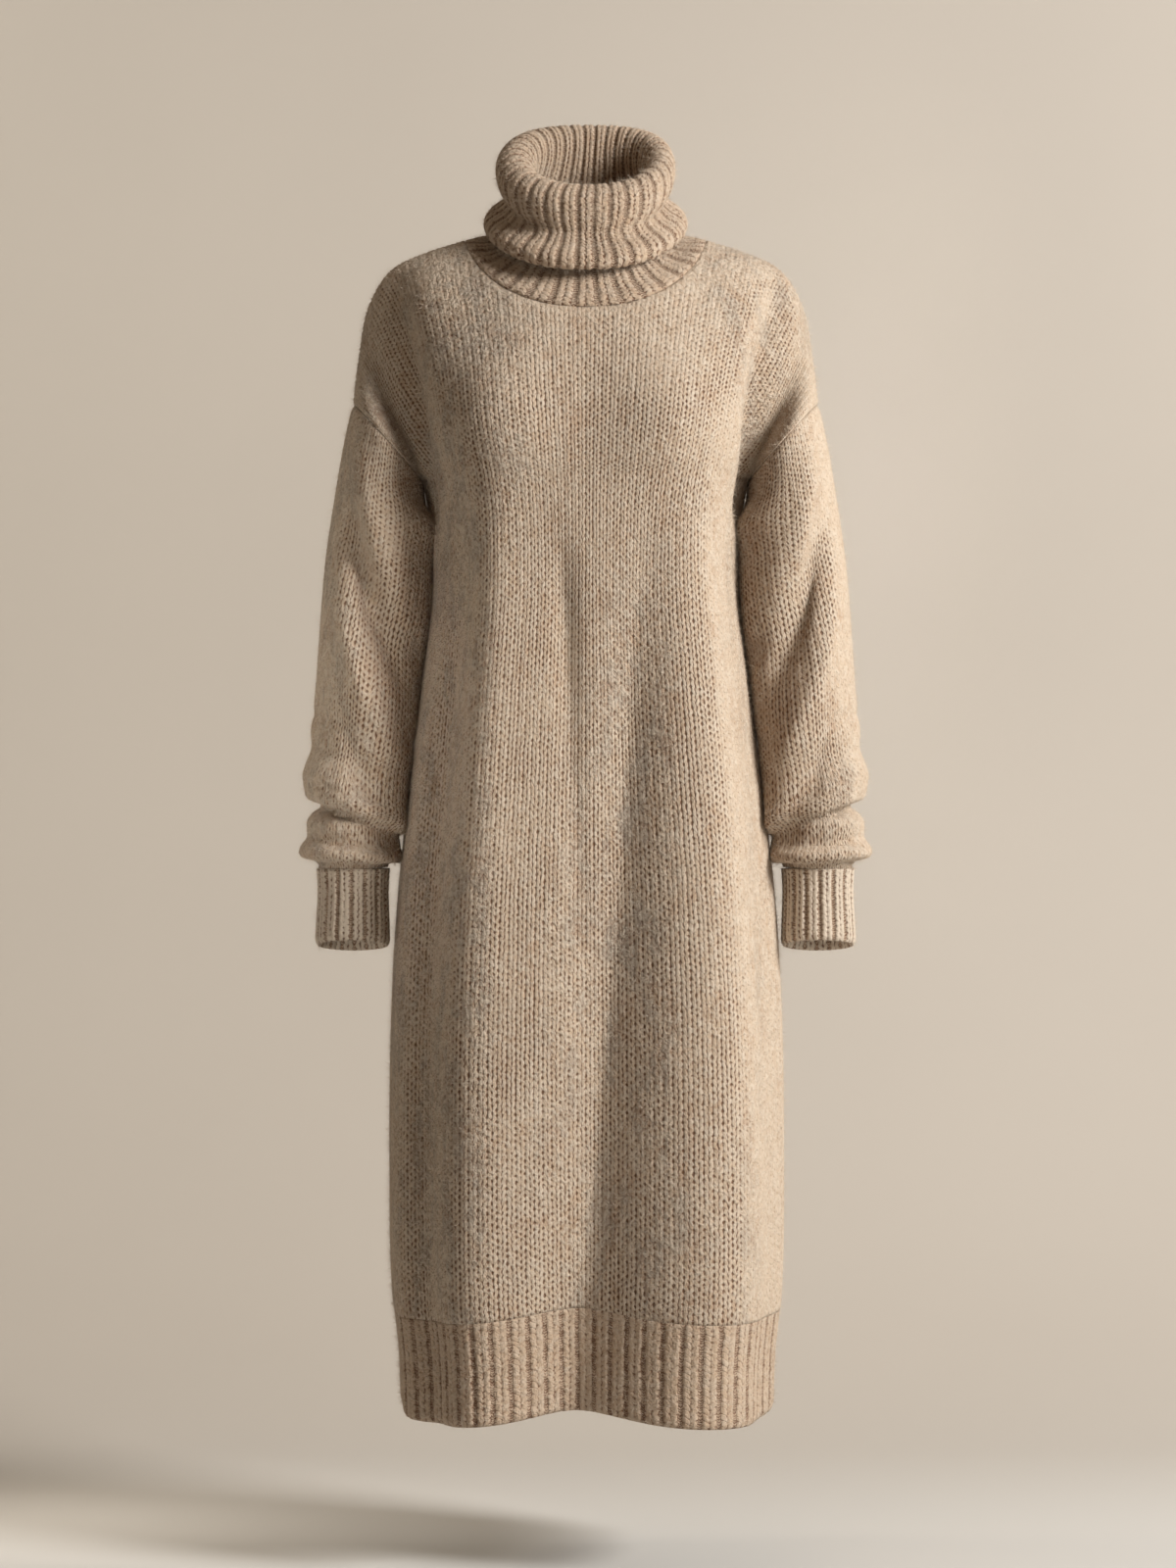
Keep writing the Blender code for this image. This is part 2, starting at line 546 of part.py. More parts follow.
def halved(verts, face):
    """A four-sided face cut in two by a rule that gives the same cut on both sides of a seam."""
    if len(face) == 3:
        return [face]
    a, b, c, d = face
    first, second = (np.linalg.norm(verts[i] - verts[j]) for i, j in ((a, c), (b, d)))
    if abs(first - second) < 0.02 * first:
        second = first + abs(verts[a][0]) + abs(verts[c][0]) - abs(verts[b][0]) - abs(verts[d][0])
    if first < second:
        return [(a, b, c), (a, c, d)]
    return [(a, b, d), (b, c, d)]


def wall(name, outer, inner, closed, colour):
    """A closed wall between two grids of points, given as lists of rows of the same number.

    An outer row may have a whole multiple of its inner row's steps."""
    verts, numbers = [], []
    for grid in (outer, inner):
        rows = []
        for row in grid:
            rows.append(list(range(len(verts), len(verts) + len(row))))
            verts.extend(row)
        numbers.append(rows)
    faces = []
    for rows in numbers:
        for upper, lower in zip(rows, rows[1:]):
            fewer, more = sorted((upper, lower), key=len)
            faces += strip(fewer, more, closed)
    band = []
    for k in (0, -1):
        fewer, more = sorted((numbers[1][k], numbers[0][k]), key=len)
        band += strip(fewer, more, closed)
    if not closed:
        for k in (0, -1):
            edge = [[row[k] for row in rows] for rows in numbers]
            band += strip(edge[0], edge[1], False)
    for face in band:
        faces += halved(verts, face)
    return new_object(name, verts, faces, colour)


def pulled_in(grid, first=True, last=True):
    """The rows, with the first and last moved half a seam's gap inwards, square to themselves."""
    grid = [np.array(row, float) for row in grid]
    for wanted, edge, near in ((first, 0, 1), (last, -1, -2)):
        if wanted:
            along = unit(np.gradient(grid[edge], axis=0))
            inwards = grid[near] - grid[edge]
            inwards -= along * np.sum(inwards * along, axis=1, keepdims=True)
            grid[edge] = grid[edge] + unit(inwards) * SEAM_GAP / 2
    return grid


def sides_pulled_in(grid):
    turned = pulled_in(list(np.swapaxes(np.array(grid), 0, 1)))
    return list(np.swapaxes(np.array(turned), 0, 1))


# ---- the pieces ----------------------------------------------------------------------------------
OATMEAL = (0.60, 0.49, 0.37)
OATMEAL_SHADE = (0.55, 0.44, 0.33)


def panel_grid(side):
    """(u, v) of each row of a panel's points, from the shoulder line down to the hem rib's seam.

    The columns fan out from the neckline and shoulders, and are evenly spaced from the underarm down."""
    def shoulder(u):
        return panel(side, u, np.full_like(u, -YOKE_LENGTH))

    neck = neck_columns(side)
    outer = evenly_along(shoulder, NECK_U, 1, SHOULDER_COLUMNS)[1:]
    top_u = np.concatenate([-outer[::-1], neck, outer])
    low_u = np.linspace(-1, 1, len(top_u))
    start = neckline(side, top_u)
    dip = UNDERARM_DIP * np.sin(math.pi / 2 * np.clip((1 - np.abs(low_u)) / UNDERARM_DIP_SPREAD, 0, 1))
    rows = []
    for share in YOKE_SHARES:
        rows.append((top_u + (low_u - top_u) * (1 - (1 - share) ** 2), start + (dip - start) * share))
    for share in np.linspace(0, 1, SKIRT_ROWS + 1)[1:]:
        rows.append((low_u, dip + (SKIRT_LENGTH - dip) * share))
    return rows


def seam_normal(side, u, v):
    """A panel's outward normals, shared with the piece across each seam."""
    total = panel_normal(side, u, v)
    at_side = (np.abs(u) > 1 - 1e-6) & (v >= 0)
    at_shoulder = v < -YOKE_LENGTH + 1e-6
    other = np.where((at_side | at_shoulder)[..., None], panel_normal(-side, u, v), 0)
    total = unit(total + other)
    arm = sleeve_normal(-side * math.pi * np.clip(-v / YOKE_LENGTH, 0, 1), np.zeros_like(u))
    arm[..., 0] *= np.sign(u)
    at_armhole = (np.abs(u) > 1 - 1e-6) & (v <= 0)
    total = total + np.where(at_armhole[..., None], arm, 0)
    at_hem = np.abs(v - SKIRT_LENGTH) < 1e-6
    total[..., 2] = np.where(at_hem, 0, total[..., 2])
    return unit(total)


def neck_seam_normal(side, u):
    """The same along the neckline, shared with the collar."""
    corners = neck_columns(side)
    turn = np.interp(u, corners, np.linspace(0, 0.5, len(corners)))
    turn = turn if side == FRONT else 1 - turn
    collar_side = -collar_normal(turn, np.full_like(turn, COLLAR_STEPS[1]), neck_ring())
    return unit(seam_normal(side, u, neckline(side, u)) + collar_side)


def make_panel(side):
    outer, inner = [], []
    for number, (u, v) in enumerate(panel_grid(side)):
        points = panel(side, u, v)
        normal = seam_normal(side, u, v)
        if number == 0:
            on_neck = np.abs(u) <= NECK_U + 1e-9
            normal[on_neck] = neck_seam_normal(side, u[on_neck])
        outer.append(points)
        inner.append(points - normal * WALL)
    outer, inner = (sides_pulled_in(pulled_in(grid)) for grid in (outer, inner))
    return wall("front" if side == FRONT else "back", outer, inner, False, OATMEAL)


def rib_phases(ribs, start=0.0):
    """(place, height share) of each point of so many ribs, over 0..1."""
    places = [(n + phase) / ribs for n in range(ribs) for phase, _ in RIB_POINTS]
    heights = [share for _ in range(ribs) for _, share in RIB_POINTS]
    return np.array(places) + start, np.array(heights)


def flat_normals(normals):
    normals = normals.copy()
    normals[..., 2] = 0
    return unit(normals)


def make_hem(side):
    places, heights = rib_phases(HEM_RIBS)
    places, heights = np.append(places, 1.0), np.append(heights, heights[0])
    in_groove = ((1 - heights) * RIB_HEIGHT)[:, None]
    outer, inner = [], []
    for depth in np.linspace(SKIRT_LENGTH, UNDERARM_Z - HEM_EDGE_Z, HEM_ROWS + 1):
        corners = panel_grid(side)[-1][0] if not outer else places * 2 - 1
        level = np.full_like(corners, depth)
        points = panel(side, corners, level)
        normal = flat_normals(seam_normal(side, corners, level))
        back = points - normal * (RIB_WALL + RIB_HEIGHT)
        points, normal, back = (along_polygon(row, places) for row in (points, normal, back))
        outer.append(points - normal * in_groove)
        inner.append(back[:: len(RIB_POINTS)])
    outer, inner = pulled_in(outer, last=False), pulled_in(inner, last=False)
    outer, inner = sides_pulled_in(outer), sides_pulled_in(inner)
    name = "hem_rib_front" if side == FRONT else "hem_rib_back"
    return wall(name, outer, inner, False, OATMEAL_SHADE)


def mirrored(grid, side_x):
    return [row * np.array([side_x, 1, 1]) for row in grid]


def make_sleeve(side_x):
    angle = math.pi * np.concatenate([YOKE_SHARES, 1 + np.array(YOKE_SHARES[1:-1])])
    outer, inner = [], []
    for t in SLEEVE_ROWS_T:
        height = np.full_like(angle, t)
        points = sleeve(angle, height)
        normal = sleeve_normal(angle, height)
        if t == 0:
            front = angle <= math.pi
            v = -YOKE_LENGTH * np.where(front, angle / math.pi, 2 - angle / math.pi)
            ones = np.ones_like(angle)
            panels = [seam_normal(side, ones, v) for side in (FRONT, BACK)]
            normal = np.where(front[:, None], panels[0], panels[1])
        if t == 1:
            normal = flat_normals(normal)
        outer.append(points)
        inner.append(points - normal * WALL)
    outer, inner = (mirrored(pulled_in(grid), side_x) for grid in (outer, inner))
    return wall("sleeve_left" if side_x > 0 else "sleeve_right", outer, inner, True, OATMEAL)


def make_cuff(side_x):
    places, heights = rib_phases(CUFF_RIBS)
    angle = 2 * math.pi * places
    outer, inner = [], []
    for w in np.linspace(0, 1, CUFF_ROWS + 1):
        height = np.full_like(angle, w)
        points = cuff(angle, height)
        normal = measured_normal(lambda a, b: cuff(a, np.clip(b, 0, 1)), angle, height, TUBE_STEPS)
        normal = flat_normals(normal)
        outer.append(points - normal * ((1 - heights) * RIB_HEIGHT)[:, None])
        inner.append((points - normal * (RIB_WALL + RIB_HEIGHT))[:: len(RIB_POINTS)])
    outer, inner = (mirrored(pulled_in(g, last=False), side_x) for g in (outer, inner))
    return wall("cuff_left" if side_x > 0 else "cuff_right", outer, inner, True, OATMEAL_SHADE)


def make_collar():
    turn, heights = rib_phases(COLLAR_RIBS)
    ring = neck_ring()
    seam = []
    for side in (FRONT, BACK):
        corners = neck_columns(side)
        seam.append(neck_seam_normal(side, corners))
    seam = np.concatenate([seam[0], seam[1][-2::-1]])
    half = RIB_WALL / 2
    raised = (half + heights * RIB_HEIGHT)[:, None]
    showing = [along_polygon(ring - seam * WALL, turn)[:: len(RIB_POINTS)]]
    hidden = [along_polygon(ring, turn)]
    for s in range(1, COLLAR_ROWS + 1):
        level = np.full_like(turn, s)
        points = collar(turn, level, ring)
        normal = collar_normal(turn, level, ring)
        if s < COLLAR_BASE_ROWS:
            showing.append((points + normal * half)[:: len(RIB_POINTS)])
            hidden.append(points - normal * raised)
        else:
            showing.append(points + normal * raised)
            hidden.append((points - normal * half)[:: len(RIB_POINTS)])
    showing, hidden = pulled_in(showing, last=False), pulled_in(hidden, last=False)
    return wall("roll_collar", showing, hidden, True, OATMEAL_SHADE)


def main():
    for obj in list(bpy.data.objects):
        bpy.data.objects.remove(obj)
    for side in (FRONT, BACK):
        make_panel(side)
        make_hem(side)
    for side_x in (1, -1):
        make_sleeve(side_x)
        make_cuff(side_x)
    make_collar()


main()
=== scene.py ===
"""Look scene of the chunky sweater dress: the knit itself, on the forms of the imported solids.

Metres, +Z up, front towards -Y. Each piece of cloth is a thin closed shell. In stocking stitch
its outer grid has four columns to a wale and two rows to a course, raised and sunk as the stitches
are, whose finer shape is bump in the wool's material.
"""

import math
from collections import namedtuple

import bmesh
import bpy
import numpy as np
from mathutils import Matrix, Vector


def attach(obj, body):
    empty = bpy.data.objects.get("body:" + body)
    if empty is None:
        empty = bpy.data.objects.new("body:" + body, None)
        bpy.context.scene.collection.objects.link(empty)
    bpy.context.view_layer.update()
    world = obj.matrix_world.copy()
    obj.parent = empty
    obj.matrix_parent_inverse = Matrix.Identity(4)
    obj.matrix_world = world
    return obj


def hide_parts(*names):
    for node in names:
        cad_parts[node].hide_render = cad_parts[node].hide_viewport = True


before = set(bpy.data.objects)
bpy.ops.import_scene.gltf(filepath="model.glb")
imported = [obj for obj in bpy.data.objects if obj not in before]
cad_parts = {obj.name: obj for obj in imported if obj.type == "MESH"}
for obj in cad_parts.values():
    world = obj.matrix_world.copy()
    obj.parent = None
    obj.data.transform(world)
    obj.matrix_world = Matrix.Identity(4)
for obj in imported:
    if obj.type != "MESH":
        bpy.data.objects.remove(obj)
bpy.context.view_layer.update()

FRONT, BACK = -1, 1
PANEL_NAMES = {FRONT: "front", BACK: "back"}
ARM_NAMES = {1: "left", -1: "right"}


def table(columns, *rows):
    """Rows of numbers with named columns."""
    row_type = namedtuple("Row", columns)
    return tuple(row_type(*row) for row in rows)


# ---- body: sections of the skirt, from the underarm down ----
BODY = table(
    "z half_width front back",
    (-0.216, 0.1490, 0.131, 0.129),  # underarm
    (-0.245, 0.1435, 0.131, 0.127),
    (-0.305, 0.1395, 0.130, 0.121),  # waist
    (-0.408, 0.1500, 0.133, 0.123),
    (-0.493, 0.1605, 0.137, 0.129),  # hip
    (-0.600, 0.1715, 0.141, 0.134),
    (-0.840, 0.1790, 0.145, 0.138),
    (-0.977, 0.1755, 0.144, 0.137),  # seam of the hem rib
    (-1.015, 0.1715, 0.142, 0.135),
    (-1.070, 0.1695, 0.141, 0.134),  # lower edge
)
UNDERARM_Z = BODY[0].z
HEM_SEAM_Z = BODY[-3].z
HEM_EDGE_Z = BODY[-1].z
SKIRT_LENGTH = UNDERARM_Z - HEM_SEAM_Z
YOKE_LENGTH = 0.250  # of cloth from the shoulder line to the underarm
BODY_SQUARENESS = 2.5  # exponent of the superellipse that a section is
# The courses rise between the two big folds and, less, towards the side seams.
HEM_CENTRE_LIFT = 0.0125
HEM_CENTRE_SPREAD = 0.24
HEM_SIDE_LIFT = 0.0055
HEM_EDGE_SIDE_LIFT = 0.0065  # the lower edge rises so much more
HEM_LIFT_TOP_Z = -0.600

# ---- yoke: the shoulder line, from the side of the neck to the top of the armhole ----
NECK_U = 0.34  # of a half panel, that the neckline takes
SHOULDER = table(
    "u x z",
    (-0.17, -0.0550, 0.0290),  # as on the other side of the middle
    (0.00, 0.0000, 0.0360),  # no cloth here, under the collar
    (0.17, 0.0550, 0.0290),
    (NECK_U, 0.1100, 0.0040),
    (0.45, 0.1440, -0.0070),
    (0.58, 0.1790, -0.0245),
    (0.70, 0.1985, -0.0560),
    (0.85, 0.2080, -0.1050),
    (1.00, 0.2130, -0.1480),
)
NECKLINE_DROP = {FRONT: 0.069, BACK: -0.006}  # below the neck point at the panel's middle
NECKLINE_SHAPE = 2.4
CHEST_POWER = {FRONT: 1.18, BACK: 0.77}  # over 1, the slope from neck to chest is straighter
ARMHOLE_DEPTH = 0.078  # half the armhole, front to back
ARM_TURN_U = 0.70  # from here outwards the cloth turns under the arm
SIDE_U = 0.60  # the chest's own slope ends here, and the hem starts to rise

# ---- folds of the two panels ----
PANEL_FOLD = "top_u hem_u top_z full_z mid_height hem_height top_width hem_width shape"
FOLDS = {
    FRONT: table(
        PANEL_FOLD,
        (0.30, -0.03, -0.240, -0.480, -0.014, -0.040, 0.09, 0.20, 1.6),
        (-0.39, -0.38, -0.100, -0.330, 0.011, 0.016, 0.12, 0.16, 2.0),
        (0.48, 0.45, -0.140, -0.330, 0.012, 0.026, 0.13, 0.22, 2.0),
        (-0.55, -0.57, -0.180, -0.480, -0.007, -0.009, 0.07, 0.08, 2.0),
        (-0.70, -0.71, -0.300, -0.560, 0.004, 0.006, 0.08, 0.08, 2.0),
        (-0.13, 0.06, -0.240, -0.360, -0.008, 0.003, 0.06, 0.07, 1.6),
        (0.70, 0.66, -0.330, -0.600, -0.004, -0.005, 0.09, 0.10, 2.0),
        (0.84, 0.82, -0.380, -0.640, 0.003, 0.004, 0.09, 0.09, 2.0),
    ),
    BACK: table(
        PANEL_FOLD,
        (0.10, -0.06, -0.220, -0.500, -0.009, -0.030, 0.10, 0.17, 2.0),
        (-0.34, -0.42, -0.180, -0.420, 0.008, 0.014, 0.14, 0.16, 2.0),
        (0.42, 0.34, -0.160, -0.440, 0.009, 0.013, 0.13, 0.15, 2.0),
        (0.62, 0.60, -0.300, -0.560, -0.005, -0.010, 0.10, 0.10, 2.0),
        (0.78, 0.80, -0.340, -0.620, 0.004, 0.006, 0.09, 0.09, 2.0),
        (-0.68, -0.70, -0.280, -0.540, -0.005, -0.008, 0.10, 0.10, 2.0),
    ),
}
FOLD_PATH_BEND = 0.7  # under 1, a fold leans more at its top than at the hem
FOLD_GROWTH = 1.5  # over 1, it deepens more towards the hem
SHOULDER_FADE, SIDE_SEAM_FADE = 0.25, 0.12  # of yoke and half panel, where folds fade out
CHEST_FULLNESS = 0.015  # two soft rounds of the front, and one broad one of the back
CHEST_X, CHEST_Z = 0.078, -0.168
CHEST_SPREAD_X, CHEST_SPREAD_Z = 0.045, 0.056
BACK_SPREAD_X = 0.105
# The crease from each armpit up towards the shoulder.
ARM_CREASE = table(
    "f u front_depth back_depth",
    (0.12, 0.575, 0.000, 0.000),
    (0.27, 0.600, 0.007, 0.002),
    (0.47, 0.620, 0.012, 0.005),
    (0.62, 0.635, 0.015, 0.009),
    (0.72, 0.660, 0.017, 0.013),
    (0.85, 0.710, 0.017, 0.016),
    (1.00, 0.800, 0.014, 0.014),
)
ARM_CREASE_WIDTH = 0.075
CREASE_BELOW = 0.06  # it fades out this far below the underarm
LEVEL_FROM = 0.35  # last share of the yoke, where folds come to move the cloth only sideways

# ---- sleeve: sections from the armhole to the cuff, on the +X side ----
SLEEVE = table(
    "t x y z half_width half_depth tilt_deg",
    (0.00, 0.18125, 0.000, -0.182, 0.04655, ARMHOLE_DEPTH, 46.97),
    (0.15, 0.1885, -0.001, -0.240, 0.0430, 0.073, 24.0),
    (0.32, 0.1925, -0.003, -0.305, 0.0465, 0.068, 6.0),
    (0.57, 0.2010, -0.009, -0.405, 0.0455, 0.062, 0.0),
    (0.76, 0.2085, -0.016, -0.475, 0.0445, 0.056, 0.0),
    (0.90, 0.2125, -0.023, -0.530, 0.0405, 0.049, 0.0),
    (1.00, 0.2120, -0.027, -0.572, 0.0335, 0.038, 0.0),
)
# Rolls and dips that ring the sleeve above the cuff, and slant from its outer to its inner side.
SLEEVE_ROLLS = table(
    "t_outer t_inner outer_height inner_height spread",
    (0.725, 0.800, -0.0025, -0.0010, 0.028),
    (0.790, 0.890, 0.0050, 0.0070, 0.036),
    (0.866, 0.945, -0.0125, -0.0060, 0.021),
    (0.948, 0.975, 0.0100, 0.0060, 0.025),
)
ROLL_SAG = 0.45  # of its height, that a roll hangs lower than it would
SLEEVE_PRESS = 0.014  # how far a sleeve's inner side would reach if there were no body
SLEEVE_CLEAR = 0.0013  # of the body, at the side seam
SLEEVE_CLEAR_FOLDS = 0.0040  # more so far from the side seam that the body has folds
FOLDS_FROM_Y = 0.030
PRESS_ROUND = 0.006
# Shares of the sleeve's length over which the press, rolls and creases grow at its top and fade at
# its cuff. A crease fades out past its own ends too.
PRESS_FROM, PRESS_OVER, PRESS_END = 0.04, 0.16, 0.05
SLEEVE_FADE_TOP, SLEEVE_FADE_CUFF, CREASE_FADE = 0.12, 0.03, 0.05
# Angles run round the sleeve from the underarm (0) by the front (90) to the outer side (180).
SLEEVE_CREASES = table(
    "t_from angle_from t_to angle_to depth spread",
    (0.12, 138.0, 0.50, 62.0, 0.0055, 17.0),
    (0.42, 60.0, 0.56, 20.0, 0.0050, 16.0),
    (0.62, 150.0, 0.78, 112.0, 0.0035, 18.0),
    (0.18, 236.0, 0.52, 300.0, 0.0050, 18.0),
    (0.58, 215.0, 0.76, 262.0, 0.0040, 18.0),
)

# ---- cuff ----
CUFF_LENGTH = 0.070
CUFF = table(
    "w x y half_width half_depth tilt",
    (0.00, 0.2120, -0.0270, 0.0335, 0.0375, 0.00),
    (0.30, 0.2120, -0.0285, 0.0325, 0.0355, 0.04),
    (0.65, 0.2122, -0.0300, 0.0335, 0.0362, 0.10),
    (1.00, 0.2124, -0.0310, 0.0345, 0.0374, 0.16),
)

# ---- collar: stations of its middle surface, from the neck seam over the top to the edge ----
COLLAR = table(
    "x half_width y_front y_back z_front z_side z_back",
    (0.0000, 0.0735, -0.0765, 0.0600, -0.0265, 0.0095, 0.0400),
    (0.0010, 0.0610, -0.0665, 0.0490, -0.0040, 0.0330, 0.0650),
    (0.0030, 0.0535, -0.0610, 0.0430, 0.0180, 0.0580, 0.0880),
    (0.0040, 0.0545, -0.0615, 0.0435, 0.0340, 0.0750, 0.1040),
    (0.0030, 0.0625, -0.0680, 0.0500, 0.0435, 0.0850, 0.1135),
    (0.0015, 0.0725, -0.0775, 0.0590, 0.0415, 0.0835, 0.1120),
    (0.0000, 0.0790, -0.0855, 0.0660, 0.0300, 0.0725, 0.1010),
    (0.0000, 0.0765, -0.0860, 0.0665, 0.0140, 0.0570, 0.0850),
    (0.0000, 0.0680, -0.0835, 0.0640, 0.0020, 0.0440, 0.0690),
    (0.0000, 0.0745, -0.0870, 0.0695, -0.0090, 0.0345, 0.0560),
    (0.0000, 0.0855, -0.0930, 0.0770, -0.0170, 0.0275, 0.0460),
    (0.0000, 0.0900, -0.0965, 0.0810, -0.0230, 0.0215, 0.0380),
    (0.0000, 0.0890, -0.0960, 0.0805, -0.0285, 0.0165, 0.0320),
    (0.0000, 0.0835, -0.0915, 0.0760, -0.0310, 0.0145, 0.0295),
)
COLLAR_SQUARENESS = 2.35
COLLAR_BASE_ROWS = 3  # from the neck seam up to the first station
COLLAR_ROWS = COLLAR_BASE_ROWS + len(COLLAR) - 1
COLLAR_BASE_SAG = 0.0038  # how far the base hangs below the straight way there

NECK_CORNERS = 17  # of each panel at the neck seam, one for each rib of the collar
# Steps of each surface's two parameters over which its slopes are measured.
PANEL_STEPS = (0.025, 0.008)
TUBE_STEPS = (0.06, 0.02)


def smooth(t):
    """0 to 1 with no corner at either end."""
    t = np.clip(t, 0.0, 1.0)
    return t * t * (3 - 2 * t)


def bell(distance, width, shape=2.0):
    """1 at no distance and nearly 0 at twice the width. A shape under 2 has a sharper top."""
    return np.exp(-(np.abs(distance / width) ** shape))


def between(first, second, share):
    return first + (second - first) * share


def unit(vectors):
    length = np.linalg.norm(vectors, axis=-1, keepdims=True)
    return vectors / np.maximum(length, 1e-12)


def smooth_curve(xs, ys, at):
    """A smooth curve through points, level past both ends."""
    slopes = np.gradient(ys, xs)
    at = np.clip(at, xs[0], xs[-1])
    i = np.clip(np.searchsorted(xs, at, side="right") - 1, 0, len(xs) - 2)
    step = xs[i + 1] - xs[i]
    t = (at - xs[i]) / step
    return (
        ys[i] * (1 + 2 * t) * (1 - t) ** 2
        + ys[i + 1] * t * t * (3 - 2 * t)
        + step * (slopes[i] * t * (1 - t) ** 2 - slopes[i + 1] * t * t * (1 - t))
    )


def through(rows, key, column, at):
    """Such a curve through a table's column, over its key column."""
    points = sorted((getattr(row, key), getattr(row, column)) for row in rows)
    return smooth_curve(*np.array(points).T, at)


def even_angles(width, depth, squareness):
    """A superellipse quadrant: (shares of its arc, angles from its depth axis at those shares)."""
    angles = np.linspace(0, math.pi / 2, 400)
    x = width * np.sin(angles) ** (2 / squareness)
    y = depth * np.cos(angles) ** (2 / squareness)
    run = np.concatenate([[0], np.cumsum(np.hypot(np.diff(x), np.diff(y)))])
    return run / run[-1], angles


HIP = BODY[4]
BODY_ARC = even_angles(HIP.half_width, HIP.front, BODY_SQUARENESS)


def body_ring(side, u, z):
    """A point of the plain body, u from -1 at the -X side seam to 1 at the +X one."""
    angle = np.interp(np.abs(u), *BODY_ARC)
    power = 2 / BODY_SQUARENESS
    depth = through(BODY, "z", PANEL_NAMES[side], z)
    x = np.sign(u) * through(BODY, "z", "half_width", z) * np.sin(angle) ** power
    y = side * depth * np.maximum(np.cos(angle), 0) ** power
    return np.stack([x, y, z], axis=-1)


def shoulder_line(u):
    """(x, z) of the shoulder line at |u|."""
    return through(SHOULDER, "u", "x", np.abs(u)), through(SHOULDER, "u", "z", np.abs(u))


def chest_power(side, u):
    return 1 + (CHEST_POWER[side] - 1) * (1 - smooth(np.abs(u) / SIDE_U))


def yoke(side, u, f):
    """A point above the underarm: f is 0 on the shoulder line and 1 level with the underarm."""
    low = body_ring(side, u, np.full_like(u, UNDERARM_Z))
    top_x, top_z = shoulder_line(u)
    turn = ARMHOLE_DEPTH * smooth((np.abs(u) - ARM_TURN_U) / (1 - ARM_TURN_U))
    depth = np.hypot(low[..., 1], turn)
    span = math.pi / 2 + np.arctan2(turn, np.abs(low[..., 1]))
    power = chest_power(side, u)
    angle = span * f
    forward = np.abs(np.sin(angle)) ** power
    drop = 1 - np.sign(np.cos(angle)) * np.abs(np.cos(angle)) ** power
    drop = drop / (1 - np.cos(span))
    x = between(top_x, np.abs(low[..., 0]), drop)
    z = between(top_z, low[..., 2], drop)
    return np.stack([np.sign(u) * x, side * depth * forward, z], axis=-1)


def neckline(side, u):
    """v where the neckline cuts the yoke; outside the neck points, on the shoulder line."""
    q = np.minimum(np.abs(u) / NECK_U, 1.0)
    _, top_z = shoulder_line(u)
    neck_point_z = float(shoulder_line(NECK_U)[1])
    z = neck_point_z - NECKLINE_DROP[side] * np.sqrt(1 - q**NECKLINE_SHAPE)
    left = 1 - (top_z - z) / (top_z - UNDERARM_Z)
    f = np.arccos(np.clip(left, 0, 1) ** (1 / chest_power(side, u))) / (math.pi / 2)
    return YOKE_LENGTH * (np.where(np.abs(u) < NECK_U, f, 0.0) - 1)


def panel_base(side, u, v):
    """v is in metres down the cloth: -YOKE_LENGTH on the shoulder line and 0 at the underarm."""
    above = yoke(side, u, np.clip(1 + v / YOKE_LENGTH, 0, 1))
    below = body_ring(side, u, UNDERARM_Z - np.maximum(v, 0))
    return np.where((v < 0)[..., None], above, below)


def panel_height(side, u, v, points):
    """How far folds and fullness move the cloth outwards."""
    x, z = points[..., 0], points[..., 2]
    height = np.zeros_like(u)
    for fold in FOLDS[side]:
        share = np.clip((fold.top_z - z) / (fold.top_z - HEM_EDGE_Z), 0, 1)
        centre = between(fold.top_u, fold.hem_u, share**FOLD_PATH_BEND)
        rise = smooth((fold.top_z - z) / (fold.top_z - fold.full_z))
        grown = between(fold.mid_height, fold.hem_height, share**FOLD_GROWTH)
        width = between(fold.top_width, fold.hem_width, share)
        height += rise * grown * bell(u - centre, width, fold.shape)
    if side == FRONT:
        across = bell(np.abs(x) - CHEST_X, CHEST_SPREAD_X)
    else:
        across = bell(x, BACK_SPREAD_X, 3.0)
    height += CHEST_FULLNESS * across * bell(z - CHEST_Z, CHEST_SPREAD_Z)
    f = 1 + np.minimum(v, 0) / YOKE_LENGTH
    crease = through(ARM_CREASE, "f", PANEL_NAMES[side] + "_depth", f)
    crease = np.maximum(crease, 0) * (f > ARM_CREASE[0].f)
    crease = crease * bell(np.abs(u) - through(ARM_CREASE, "f", "u", f), ARM_CREASE_WIDTH)
    height -= crease * (1 - smooth(v / CREASE_BELOW))
    at_shoulder = smooth(f / SHOULDER_FADE)
    at_edge = smooth((1 - np.abs(u)) / SIDE_SEAM_FADE)
    return height * at_shoulder * at_edge


def measured_normal(surface, u, v, steps):
    """Unit normals of a surface, along d/dv x d/du, from its slopes over small steps."""
    across = surface(u + steps[0], v) - surface(u - steps[0], v)
    along = surface(u, v + steps[1]) - surface(u, v - steps[1])
    return unit(np.cross(along, across))


